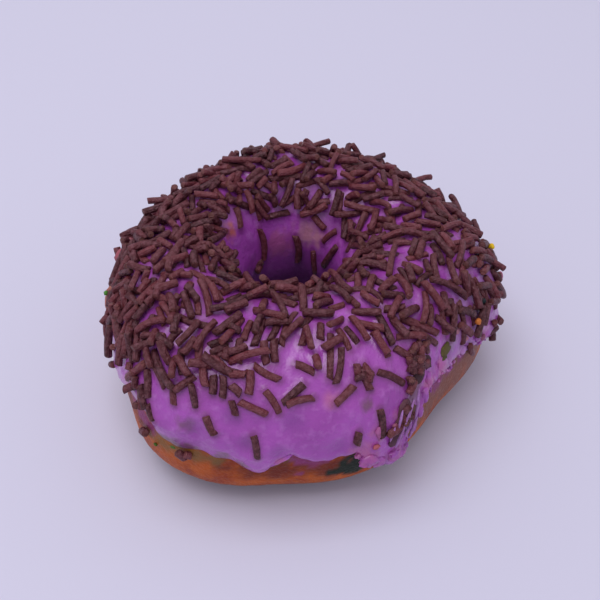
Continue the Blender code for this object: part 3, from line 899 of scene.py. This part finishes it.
# %% [markdown]
# ## One sprinkle
#
# A sprinkle is a rod that was cut, not moulded, so its ends are flat with a worn rim. It starts as an
# eight-sided cylinder. Its end rims are bevelled, and bisecting it in four places lets it bend.

# %% A sprinkle to copy
MODEL_LENGTH = 6 * MM
RIM_WEAR = 0.13 * MM
ROD_SIDES = 8
BEND_CUTS = 4
AT_END = 0.49  # a point this far out lies on an end, as a share of the length


def model_sprinkle():
    """A straight rod along Z with worn rims, cut across so that its copies can bend."""
    bpy.ops.object.select_all(action="DESELECT")
    bpy.ops.mesh.primitive_cylinder_add(vertices=ROD_SIDES, radius=SPRINKLE_RADIUS, depth=MODEL_LENGTH)
    rod = bpy.context.object
    rod.name = "sprinkle_model"
    bpy.ops.object.mode_set(mode="EDIT")
    for cut in range(1, BEND_CUTS + 1):
        bpy.ops.mesh.select_all(action="SELECT")
        height = MODEL_LENGTH * (cut / (BEND_CUTS + 1) - 0.5)
        bpy.ops.mesh.bisect(plane_co=(0, 0, height), plane_no=(0, 0, 1))
    bpy.ops.mesh.select_all(action="DESELECT")
    bpy.ops.object.mode_set(mode="OBJECT")
    at_end = [abs(vertex.co.z) > AT_END * MODEL_LENGTH for vertex in rod.data.vertices]
    for vertex in rod.data.vertices:
        vertex.select = at_end[vertex.index]
    for edge in rod.data.edges:
        edge.select = all(at_end[index] for index in edge.vertices)
    for face in rod.data.polygons:
        face.select = all(at_end[index] for index in face.vertices)
    bpy.ops.object.mode_set(mode="EDIT")
    bpy.ops.mesh.bevel(offset=RIM_WEAR, segments=1, affect="EDGES")
    bpy.ops.object.mode_set(mode="OBJECT")
    print("one sprinkle has", len(rod.data.polygons), "faces")
    return rod


sprinkle_model = model_sprinkle()

# %% [markdown]
# ## All the sprinkles
#
# Each sprinkle is a copy of the model with its own mesh. The copy is stretched to its length without
# stretching its rims, bent, and turned into place. Longer rods bent more, because they were still soft when
# they were cut. Two values are kept on the points for the material: how dark this sprinkle is, and where
# its cut ends are. At last all of them are joined into one piece.

# %% How the sprinkles differ
BEND, DROOP = 0.085, 0.8  # the most that one bends, as a share of its length, and the most it droops, of that
BEND_FROM = 7 * MM  # shorter ones bend less
# Sprinkles that bend far: theta and phi of the middle, and how far the middle bows out sideways.
BOWED = (
    (305, 95, -2.3 * MM), (246, 100, 1.1 * MM), (225, 99, -0.9 * MM), (202, 114, 0.8 * MM),
    (72, 131, -0.9 * MM), (132, 154, 0.7 * MM), (284, 113, 0.9 * MM), (30, 54, -1.2 * MM),
    (118, 90, 0.7 * MM), (240, 95, -0.8 * MM),
)
BOW_NEAR = 1.9 * MM  # how near to such a place a sprinkle's middle has to be
THICKNESS_SPREAD = 0.12
END_SLANT = 0.4
END_BAND = 1.2  # what isn't stretched with the rod's length: how far in from its end, in rim wears
TIP_BAND = 0.5  # what counts as cut: how far in from its end, in rim wears
ROUGHNESS_HEIGHT, ROUGHNESS_SIZE = 0.13, 0.6 * MM
ROUGHNESS_VARIETY = 0.9 / MM  # how far the noise moves on from rod to rod, for each metre between them
SHARP_ROD = 50  # a rod's edges under this many degrees are smooth
SHAPE_SEED = SPRINKLE_SEED + 1

# %% Bend a copy and put it in its place
def place_sprinkle(model, laid, draw):
    """A copy of the model between the ends that were laid out for it."""
    mesh = model.data.copy()
    start, end = laid["ends"]
    length = (end - start).length
    along = (end - start).normalized()
    up = (laid["up"] - along * laid["up"].dot(along)).normalized()
    side = along.cross(up)
    limp = length * BEND * min(1.0, length / BEND_FROM)
    bend, droop = limp * draw.uniform(-1, 1), limp * draw.uniform(0, DROOP)
    for place, bow in bowed:
        if (place - laid["middle"]).length < BOW_NEAR:
            bend = bow
    thickness = 1 + draw.uniform(-1, 1) * THICKNESS_SPREAD
    slants = (draw.uniform(-1, 1) * END_SLANT, draw.uniform(-1, 1) * END_SLANT)
    shade = draw.random()
    half = MODEL_LENGTH / 2
    tips = []
    for vertex in mesh.vertices:
        x, y, z = vertex.co
        share = z / half
        height = share * length / 2
        if abs(z) > half - END_BAND * RIM_WEAR:
            height = math.copysign(length / 2 - (half - abs(z)), z) + x * slants[0 if z < 0 else 1]
        curve = 1 - share * share
        rough = noise.noise(Vector((x, y, height)) / ROUGHNESS_SIZE + laid["middle"] * ROUGHNESS_VARIETY)
        wide = thickness * (1 + ROUGHNESS_HEIGHT * rough)
        offset = side * (x * wide + bend * curve) + up * (y * wide + droop * (curve - 0.5))
        vertex.co = laid["middle"] + along * height + offset
        tips.append(1.0 if abs(z) > half - TIP_BAND * RIM_WEAR else 0.0)
    too_high = max(vertex.co.z for vertex in mesh.vertices) - PILE_TOP
    if too_high > 0:
        for vertex in mesh.vertices:
            vertex.co.z -= too_high
    mesh.attributes.new("shade", "FLOAT", "POINT").data.foreach_set("value", [shade] * len(tips))
    mesh.attributes.new("tip", "FLOAT", "POINT").data.foreach_set("value", tips)
    copy = bpy.data.objects.new("sprinkle", mesh)
    bpy.context.scene.collection.objects.link(copy)
    return copy

# %% All the sprinkles as one piece
bowed = [(over_dough(theta, phi), bow) for theta, phi, bow in BOWED]
draw = random.Random(SHAPE_SEED)
all_laid = sprinkles + proud + broken + loose + front_row
copies = [place_sprinkle(sprinkle_model, laid, draw) for laid in all_laid]
bpy.data.objects.remove(sprinkle_model)
print(len(copies), "sprinkles and bits in all")
sprinkle_pile = join_as("chocolate_sprinkles", copies, SHARP_ROD)
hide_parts("icing")
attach(sprinkle_pile, "root")

# %% [markdown]
# ## Colour that follows the surface
#
# Some colour belongs to a place: where the icing is thin the dough shows through as olive, peach or pink, and
# low on the skirt it is paler. The crust has green, olive, red, grey and purple smears, and low on the torn
# side the grey is painted shade. Such a patch is a theta, a phi and a radius in millimetres. How much of each
# tint a point has is kept as an attribute, and its border is broken up by noise. Green and purple came from
# other icing that stuck there, so their borders are crisp.

# %% Tinted patches of the icing
OLIVE_ON_ICING = (
    (234, 12, 2.2), (238, 13, 2.4), (242, 13, 2.4), (250, 11, 2.2), (254, 8, 1.8), (289, 38, 1.7),
    (326, 34, 2.6), (241, 30, 2.2), (199, 30, 2.0), (305, 30, 2.6), (236, 13, 2.0),
)
THIN_ON_ICING = ((161, 129.5, 2.2), (162.5, 134.5, 1.6))
PEACH_ON_ICING = ((72.5, 150, 3.0), (61, 152, 2.6), (66, 146, 2.0))
PALE_ON_ICING = (
    (345, 32, 6.0), (357, 38, 6.0), (333, 28, 5.0), (8, 44, 6.0), (224, 24, 3.0), (340, 50, 5.0),
    (208, 34, 5.0), (20, 50, 5.0), (325, 26, 3.0), (72, 149, 3.6),
)
PINK_ON_ICING = (
    (288, 5, 2.8), (291, 1, 2.2), (264.5, 9.5, 1.6), (296, 1, 2.4), (299, -4, 2.0), (312, 27, 2.6),
    (321, 24, 3.4), (345, 20, 3.0), (279, 45, 2.0), (291, 21, 2.2), (336, 34, 3.0), (330, 20, 2.6),
    (108, 159, 4.0), (73, 149, 4.0), (223, 26, 4.0), (162, 128, 2.6), (286, 12, 3.0), (300, 22, 3.0),
)

# %% Tinted patches of the crust
GREEN_ON_DOUGH = (
    (282.5, 0.5, 2.0), (279, -4, 1.5), (281, -2, 1.8), (286, 4, 2.0), (285, -6, 2.0), (284, -2, 2.6),
    (289, 0, 2.4),
)
OLIVE_ON_DOUGH = (
    (233, 8, 2.6), (238, 9, 2.6), (243, 9, 2.6), (248, 8, 2.4), (262, 9, 2.0), (230, 12, 2.0),
    (267, 9, 1.6), (235, 5, 1.6), (228, 8, 2.0),
)
PURPLE_ON_DOUGH = (
    (270.5, 6.5, 1.6), (273, 4.5, 1.3), (275.5, 5.5, 1.3), (278, 7, 1.2), (268, 9, 1.2), (269.5, -3, 0.9),
    (302, 4, 2.5), (225, 15, 2.4), (221, 18, 2.4), (227, 13, 1.8), (229, 12, 1.8), (312, 16, 2.4),
    (320, 15, 2.6), (328, 14, 2.0), (336, 14, 2.0),
)
RED_ON_DOUGH = (
    (271, 4, 4.0), (225, 10, 3.5), (216, 10, 5.0), (257, 3, 4.0), (264, 2, 4.5), (278, 0, 4.5),
    (286, 0, 5.0), (294, 0, 5.0), (302, 2, 5.0), (250, 3, 2.5),
)
GREY_AND_SHADE_ON_DOUGH = (
    (310, 12, 5.0), (317, 13, 6.0), (324, 12, 6.0), (331, 11, 6.0), (338, 9, 6.0), (345, 6, 5.0),
    # the patches of this row, along the crust's lower edge, are painted shade
    (308, 3, 4.0), (316, 3, 4.5), (325, 2, 5.0), (334, 0, 5.0), (343, -2, 4.5),
)

# %% Keep the tints on the points
PATCH_GRAIN = 1.3 * MM
PATCH_RAGGED = 0.45  # how far its border goes in and out, in radii
PATCH_END = 1.2  # where a patch has faded out, in radii
PATCH_FAR = 1.7  # no ragged border comes this far, in radii
SOFT_EDGE, CRISP_EDGE = 1.6, 3.2


def keep_tint(obj, name, patches, edge=SOFT_EDGE):
    """Keeps on each point of obj how deep it is inside any of the patches, from 0 to 1."""
    centres = [(over_dough(theta, phi, ICING_THICKNESS / 2), size * MM) for theta, phi, size in patches]
    values = []
    for vertex in obj.data.vertices:
        depth = 0.0
        for centre, size in centres:
            away = (vertex.co - centre).length / size
            if away < PATCH_FAR:
                away += PATCH_RAGGED * noise.noise(vertex.co / PATCH_GRAIN)
                depth = max(depth, min(1.0, edge * max(0.0, PATCH_END - away)))
        values.append(depth)
    obj.data.attributes.new(name, "FLOAT", "POINT").data.foreach_set("value", values)
    print(name, "on", obj.name, "tints", sum(value > 0 for value in values), "points")


for piece in (icing, clumps):
    keep_tint(piece, "olive", OLIVE_ON_ICING)
    keep_tint(piece, "pink", PINK_ON_ICING)
    keep_tint(piece, "pale", PALE_ON_ICING)
    keep_tint(piece, "thin", THIN_ON_ICING)
    keep_tint(piece, "peach", PEACH_ON_ICING)
keep_tint(dough, "green", GREEN_ON_DOUGH, CRISP_EDGE)
keep_tint(dough, "purple", PURPLE_ON_DOUGH, CRISP_EDGE)
keep_tint(dough, "red", RED_ON_DOUGH)
keep_tint(dough, "grey_and_shade", GREY_AND_SHADE_ON_DOUGH)
keep_tint(dough, "olive", OLIVE_ON_DOUGH)

# %% [markdown]
# ## Painted shade round the sprinkles, in the dimples and low in the hole
#
# Other colour is painted shade: the icing is darkened where it meets each sprinkle, in the dimples, and low
# in the hole, where it is also dull. These too are kept on the points.

# %% Keep the painted shade on the points
# Next to each sprinkle the icing is darkened as painted shade: at most this much, fading out over this reach.
CONTACT_SHADE_MOST, CONTACT_SHADE_REACH = 0.55, 0.35 * MM
# Low in the hole the icing is darkened as painted shade and dulled: fully below the bottom height, fading out
# at the top one, within this reach beyond the hole's radius.
LOW_HOLE_REACH, LOW_HOLE_TOP, LOW_HOLE_BOTTOM = 4 * MM, 24 * MM, 12 * MM


def keep_values(obj, name, measure):
    """Keeps measure(point) for each of the object's points."""
    values = [measure(vertex.co) for vertex in obj.data.vertices]
    obj.data.attributes.new(name, "FLOAT", "POINT").data.foreach_set("value", values)


def contact_shaded(point):
    """How much painted shade darkens the icing there, where it meets a sprinkle."""
    beyond = axes.find(point)[2] - SPRINKLE_RADIUS
    return CONTACT_SHADE_MOST * math.exp(-max(0.0, beyond) / CONTACT_SHADE_REACH)


def dimple_shade(point):
    """How far a point lies in a dimple, from 0 to 1: the icing is darkened there as painted shade."""
    return min(1.0, sum(bump((point - at).length, size) for at, size, depth in dimples if depth < 0))


def low_in_hole(point):
    """How low in the hole a point is, from 0 to 1: the icing is darkened there as painted shade, and dulled.
    """
    aside = math.hypot(point.x - HOLE_CENTRE.x, point.y - HOLE_CENTRE.y)
    if aside > HOLE_RADIUS + LOW_HOLE_REACH:
        return 0.0
    return min(1.0, max(0.0, (LOW_HOLE_TOP - point.z) / (LOW_HOLE_TOP - LOW_HOLE_BOTTOM)))


for piece in (icing, clumps):
    keep_values(piece, "contact_shade", contact_shaded)
    keep_values(piece, "hole_shade_and_dullness", low_in_hole)
    keep_values(piece, "deep", dimple_shade)

# %% [markdown]
# ## Making materials from nodes
#
# One function adds any node, with its settings, its values and its links, and gives back one of its outputs,
# so that nodes can be nested as sums are.

# %% Node helpers
def new_material(name, *objects):
    """A material on those pieces."""
    material = bpy.data.materials.new(name)
    material.use_nodes = True
    for obj in objects:
        obj.data.materials.clear()
        obj.data.materials.append(material)
    return material


def add_node(material, kind, inputs, output=0, **settings):
    """Adds a node and returns an output. inputs gives each socket a value, or another node's output."""
    node = material.node_tree.nodes.new(kind)
    for name, value in settings.items():
        setattr(node, name, value)
    for socket, value in inputs.items():
        if isinstance(value, bpy.types.NodeSocket):
            material.node_tree.links.new(value, node.inputs[socket])
        else:
            node.inputs[socket].default_value = value
    return node.outputs[output]


def set_shader(material, **values):
    """Sets or links the sockets of the material's shader, named with _ for a space."""
    shader = material.node_tree.nodes["Principled BSDF"]
    for name, value in values.items():
        socket = shader.inputs[name.replace("_", " ")]
        if isinstance(value, bpy.types.NodeSocket):
            material.node_tree.links.new(value, socket)
        else:
            socket.default_value = value

# %% [markdown]
# ## Fried dough
#
# The crust browned in fat: orange brown on the belt, where it floated, and darkened towards the floor as
# painted shade, with a satin of fat in its pores. On the torn side it is greyish, where crumbs of icing were
# wiped over it, and low down there the grey is painted shade. It starts from an IOR of 1.33, that of the
# water in it, and a roughness of 0.5. Its blotches are 6 mm wide, its pale specks 1.2 mm and its pores 0.7
# mm.

# %% Fried crust
CRUST_SMEARS = (  # each tint's attribute, its colour, and how much of it covers the crust at most
    # grey is a real grey tint on the torn side, and painted shade along the lower edge there
    ("red", "661e0e", 0.85), ("grey_and_shade", "7c4e42", 0.9), ("olive", "6e5a30", 0.75), ("purple", "8a3870", 0.92),
    ("green", "0a1c06", 1.0),
)


def fried_crust(obj):
    """Orange-brown crust, darkened towards the floor as painted shade, with smears and fat in its pores."""
    material = new_material("fried_crust", obj)
    place = add_node(material, "ShaderNodeTexCoord", {}, "Object")
    blotches = add_node(
        material, "ShaderNodeTexNoise", {"Vector": place, "Scale": 1 / (6 * MM), "Detail": 3.0}
    )
    blotches = add_node(
        material, "ShaderNodeMapRange", {"Value": blotches, "From Min": 0.35, "From Max": 0.65}
    )
    specks = add_node(
        material, "ShaderNodeTexNoise", {"Vector": place, "Scale": 1 / (1.2 * MM), "Detail": 4.0}
    )
    specks = add_node(
        material, "ShaderNodeMapRange", {"Value": specks, "From Min": 0.45, "From Max": 0.75, "To Max": 0.6}
    )
    brown = add_node(
        material, "ShaderNodeMix", {0: blotches, 6: linear("c05c0a"), 7: linear("92340a")}, 2,
        data_type="RGBA",
    )
    brown = add_node(
        material, "ShaderNodeMix", {0: specks, 6: brown, 7: linear("c0661c")}, 2, data_type="RGBA"
    )
    # Towards the floor the crust is darkened: painted shade.
    height = add_node(material, "ShaderNodeSeparateXYZ", {0: place}, "Z")
    low = add_node(
        material, "ShaderNodeMapRange", {"Value": height, "From Min": 8 * MM, "From Max": 1 * MM}
    )
    brown = add_node(
        material, "ShaderNodeMix", {0: low, 6: brown, 7: linear("561c0a")}, 2, data_type="RGBA"
    )
    for name, hue, most in CRUST_SMEARS:
        depth = add_node(material, "ShaderNodeAttribute", {}, "Fac", attribute_name=name)
        depth = add_node(material, "ShaderNodeMath", {0: depth, 1: most}, operation="MULTIPLY")
        brown = add_node(
            material, "ShaderNodeMix", {0: depth, 6: brown, 7: linear(hue)}, 2, data_type="RGBA"
        )
    pores = add_node(
        material, "ShaderNodeTexNoise", {"Vector": place, "Scale": 1 / (0.7 * MM), "Detail": 4.0}
    )
    normal = add_node(material, "ShaderNodeBump", {"Height": pores, "Distance": 0.26 * MM, "Strength": 1.0})
    gloss = add_node(
        material, "ShaderNodeMapRange",
        {"Value": pores, "From Min": 0.3, "From Max": 0.7, "To Min": 0.38, "To Max": 0.6},
    )
    set_shader(
        material, Base_Color=brown, Normal=normal, Roughness=gloss, IOR=1.33, Subsurface_Weight=0.08,
        Subsurface_Radius=(1.0, 0.45, 0.2), Subsurface_Scale=1.0 * MM,
    )


fried_crust(dough)

# %% [markdown]
# ## Set sugar icing
#
# Sugar icing is fine crystals in syrup: light goes a little way in, which softens it, and its skin dries to
# a satin with a few wet glints. Its purple is uneven in clouds of 8 mm and mottles of 2 mm, and the dough
# shows through where it is thin. It starts from an IOR of 1.48 and a roughness of 0.4.

# %% Purple icing
DRY_COAT, DULL_ROUGHNESS = 0.4, 0.85  # the coat on the crown, and the roughness low in the hole
ICING_TINTS = (  # each tint's attribute, its colour, and how much of it covers the purple at most
    ("pink", "b4608e", 0.7), ("olive", "5e4632", 0.65), ("pale", "b088c6", 0.5), ("thin", "b8603c", 0.85),
    # deep darkens the icing in the dimples: painted shade.
    ("peach", "c88a90", 0.7), ("deep", "762c84", 0.45),
)
# These darken the icing as painted shade: round each sprinkle, and low in the hole.
ICING_PAINTED_SHADE = (("contact_shade", "6a2858"), ("hole_shade_and_dullness", "560a5a"))


def purple_icing(*objects):
    """Purple sugar icing, satin on the crown and dull low in the hole."""
    material = new_material("purple_sugar_icing", *objects)
    place = add_node(material, "ShaderNodeTexCoord", {}, "Object")
    clouds = add_node(
        material, "ShaderNodeTexNoise", {"Vector": place, "Scale": 1 / (8 * MM), "Detail": 2.0}
    )
    clouds = add_node(material, "ShaderNodeMapRange", {"Value": clouds, "From Min": 0.35, "From Max": 0.65})
    mottles = add_node(
        material, "ShaderNodeTexNoise", {"Vector": place, "Scale": 1 / (2.0 * MM), "Detail": 3.0}
    )
    pale = add_node(
        material, "ShaderNodeMapRange", {"Value": mottles, "From Min": 0.5, "From Max": 0.75, "To Max": 0.4}
    )
    purple = add_node(
        material, "ShaderNodeMix", {0: clouds, 6: linear("aa4db4"), 7: linear("983ea0")}, 2, data_type="RGBA"
    )
    purple = add_node(
        material, "ShaderNodeMix", {0: pale, 6: purple, 7: linear("c67ed0")}, 2, data_type="RGBA"
    )
    for name, hue, most in ICING_TINTS:
        depth = add_node(material, "ShaderNodeAttribute", {}, "Fac", attribute_name=name)
        depth = add_node(material, "ShaderNodeMath", {0: depth, 1: most}, operation="MULTIPLY")
        purple = add_node(
            material, "ShaderNodeMix", {0: depth, 6: purple, 7: linear(hue)}, 2, data_type="RGBA"
        )
    # Painted shade: darker round each sprinkle and low in the hole.
    for name, hue in ICING_PAINTED_SHADE:
        depth = add_node(material, "ShaderNodeAttribute", {}, "Fac", attribute_name=name)
        purple = add_node(
            material, "ShaderNodeMix", {0: depth, 6: purple, 7: linear(hue)}, 2, data_type="RGBA"
        )
    skin = add_node(material, "ShaderNodeBump", {"Height": mottles, "Distance": 0.32 * MM, "Strength": 1.0})
    crystals = add_node(
        material, "ShaderNodeTexNoise", {"Vector": place, "Scale": 1 / (0.5 * MM), "Detail": 3.0}
    )
    normal = add_node(
        material, "ShaderNodeBump",
        {"Height": crystals, "Distance": 0.05 * MM, "Strength": 1.0, "Normal": skin},
    )
    gloss = add_node(
        material, "ShaderNodeMapRange",
        {"Value": clouds, "From Min": 0, "From Max": 1, "To Min": 0.27, "To Max": 0.4},
    )
    # The mask low in the hole, which darkens the icing above as painted shade, here also dulls it and takes
    # off its coat.
    hole_shade_and_dullness = add_node(material, "ShaderNodeAttribute", {}, "Fac", attribute_name="hole_shade_and_dullness")
    wet = add_node(
        material, "ShaderNodeMapRange", {"Value": hole_shade_and_dullness, "To Min": DRY_COAT, "To Max": 0.0, "From Max": 0.7}
    )
    gloss = add_node(material, "ShaderNodeMix", {0: hole_shade_and_dullness, 2: gloss, 3: DULL_ROUGHNESS}, 0)
    set_shader(
        material, Base_Color=purple, Normal=normal, Roughness=gloss, IOR=1.48, Coat_Weight=wet,
        Coat_Roughness=0.14, Subsurface_Weight=0.15, Subsurface_Radius=(1.0, 0.5, 1.0),
        Subsurface_Scale=0.8 * MM,
    )


purple_icing(icing, clumps)

# %% [markdown]
# ## Chocolate sprinkles
#
# Sprinkles are sugar, fat and a little cocoa, pressed through a die and cut. They are matt, with a faint
# bloom on the cut ends, and the die left fine grooves along them. The grooves follow each rod, so they read
# its own UV map, and each rod gets its own part of the pattern. Its pale lilac dust, 0.9 mm wide, is partly
# bloom and partly painted sheen, and its pits are 0.4 mm.
# It starts from an IOR of 1.46, that of cocoa butter, and a roughness of 0.5, and both came down a little.

# %% Chocolate paste
GROOVES_AROUND, GROOVES_ALONG = 14.0, 9.0
GROOVE_VARIETY = 40.0  # how far apart the rods' own parts of the pattern are


def chocolate_paste(obj):
    """Matt dark chocolate, grooved along each rod and pitted all over, with paler cut ends."""
    material = new_material("chocolate_paste", obj)
    shade = add_node(material, "ShaderNodeAttribute", {}, "Fac", attribute_name="shade")
    tip = add_node(material, "ShaderNodeAttribute", {}, "Fac", attribute_name="tip")
    place = add_node(material, "ShaderNodeTexCoord", {}, "Object")
    # Pale lilac patches: partly dusty bloom, partly painted sheen.
    dust_and_sheen = add_node(
        material, "ShaderNodeTexNoise", {"Vector": place, "Scale": 1 / (0.9 * MM), "Detail": 3.0}
    )
    dust_and_sheen = add_node(
        material, "ShaderNodeMapRange", {"Value": dust_and_sheen, "From Min": 0.42, "From Max": 0.8, "To Max": 0.5}
    )
    brown = add_node(
        material, "ShaderNodeMix", {0: shade, 6: linear("3c1018"), 7: linear("6c2c34")}, 2, data_type="RGBA"
    )
    brown = add_node(
        material, "ShaderNodeMix", {0: dust_and_sheen, 6: brown, 7: linear("925c68")}, 2, data_type="RGBA"
    )
    tip = add_node(material, "ShaderNodeMath", {0: tip, 1: 0.22}, operation="MULTIPLY")
    brown = add_node(
        material, "ShaderNodeMix", {0: tip, 6: brown, 7: linear("8a5a48")}, 2, data_type="RGBA"
    )
    around = add_node(material, "ShaderNodeUVMap", {}, "UV", uv_map="UVMap")
    around = add_node(
        material, "ShaderNodeMapping", {"Vector": around, "Scale": (GROOVES_AROUND, GROOVES_ALONG, 1)}
    )
    own = add_node(material, "ShaderNodeMath", {0: shade, 1: GROOVE_VARIETY}, operation="MULTIPLY")
    grooves = add_node(
        material, "ShaderNodeTexNoise", {"Vector": around, "W": own, "Scale": 1.0, "Detail": 2.0},
        noise_dimensions="4D",
    )
    rod = add_node(material, "ShaderNodeBump", {"Height": grooves, "Distance": 0.4 * MM, "Strength": 1.0})
    pits = add_node(
        material, "ShaderNodeTexNoise", {"Vector": place, "Scale": 1 / (0.42 * MM), "Detail": 2.0}
    )
    normal = add_node(
        material, "ShaderNodeBump", {"Height": pits, "Distance": 0.3 * MM, "Strength": 1.0, "Normal": rod}
    )
    set_shader(material, Base_Color=brown, Normal=normal, Roughness=0.42, IOR=1.42)


chocolate_paste(sprinkle_pile)

# %% [markdown]
# ## Pressed sugar
#
# The stray bits are pressed or boiled sugar and smears of it, each in its own colour. The material takes
# that colour from the points and breaks it up with crystals of 0.6 mm. It is duller than icing, so its
# roughness is 0.6, and its IOR is 1.4, because pressed sugar holds some air.

# %% Sugar bits
def sugar_bits(obj):
    """Dull sugar in the colour that is kept on the points."""
    material = new_material("coloured_sugar", obj)
    place = add_node(material, "ShaderNodeTexCoord", {}, "Object")
    tint = add_node(material, "ShaderNodeAttribute", {}, "Color", attribute_name="tint")
    crystals = add_node(
        material, "ShaderNodeTexNoise", {"Vector": place, "Scale": 1 / (0.6 * MM), "Detail": 2.0}
    )
    depth = add_node(
        material, "ShaderNodeMapRange", {"Value": crystals, "From Min": 0.3, "From Max": 0.7, "To Max": 0.5}
    )
    dark = add_node(
        material, "ShaderNodeMix", {0: 1.0, 6: tint, 7: linear("b08a90")}, 2, data_type="RGBA",
        blend_type="MULTIPLY",
    )
    colour = add_node(material, "ShaderNodeMix", {0: depth, 6: tint, 7: dark}, 2, data_type="RGBA")
    normal = add_node(
        material, "ShaderNodeBump", {"Height": crystals, "Distance": 0.08 * MM, "Strength": 1.0}
    )
    set_shader(material, Base_Color=colour, Normal=normal, Roughness=0.6, IOR=1.4)


sugar_bits(stray)

# %% [markdown]
# ## The stage
#
# A plain floor in pale lilac lies under the ring. One large soft light hangs nearly overhead, a little to the
# left, so the shadow falls close by, mostly to the right. A pale sky fills the shadows.

# %% Floor, light and sky
FLOOR_SIZE = 8.0
KEY_PLACE = Vector((-0.22, -0.03, 1.10))
KEY_SIZE = 0.8
KEY_POWER = 6.1
KEY_COLOUR = (0.96, 0.95, 1.0)  # linear light, as the sky's colour is
SKY_COLOUR = (0.92, 0.90, 1.0, 1.0)
SKY_STRENGTH = 0.64


def add_floor():
    """A plain matt floor, which isn't part of the object."""
    bpy.ops.object.select_all(action="DESELECT")
    bpy.ops.mesh.primitive_plane_add(size=FLOOR_SIZE)
    floor = bpy.context.object
    floor.name = "floor"
    set_shader(new_material("pale_floor", floor), Base_Color=linear("d1cfe1"), Roughness=0.6)
    floor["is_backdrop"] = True


def add_key_light():
    """The soft light, which points at the ring."""
    light = bpy.data.lights.new("key_light", "AREA")
    light.shape = "SQUARE"
    light.size = KEY_SIZE
    light.energy = KEY_POWER
    light.color = KEY_COLOUR
    lamp = bpy.data.objects.new("key_light", light)
    lamp.location = KEY_PLACE
    lamp.rotation_euler = KEY_PLACE.to_track_quat("Z", "Y").to_euler()
    bpy.context.scene.collection.objects.link(lamp)


def add_sky():
    """Even pale light from all round."""
    world = bpy.data.worlds.new("sky")
    world.use_nodes = True
    background = world.node_tree.nodes["Background"]
    background.inputs["Color"].default_value = SKY_COLOUR
    background.inputs["Strength"].default_value = SKY_STRENGTH
    bpy.context.scene.world = world


add_floor()
add_key_light()
add_sky()
print("the light hangs", round(KEY_PLACE.length, 2), "m away")

# %% [markdown]
# ## The size, once more
#
# The fine surfaces may stand a little proud of the solids, but the object's size is the solids' own. The
# finished model's box is printed.

# %% Size of the finished model
model_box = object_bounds()
in_mm = [[round(1000 * value, 1) for value in corner] for corner in model_box]
print("the finished model reaches, in mm:", in_mm)
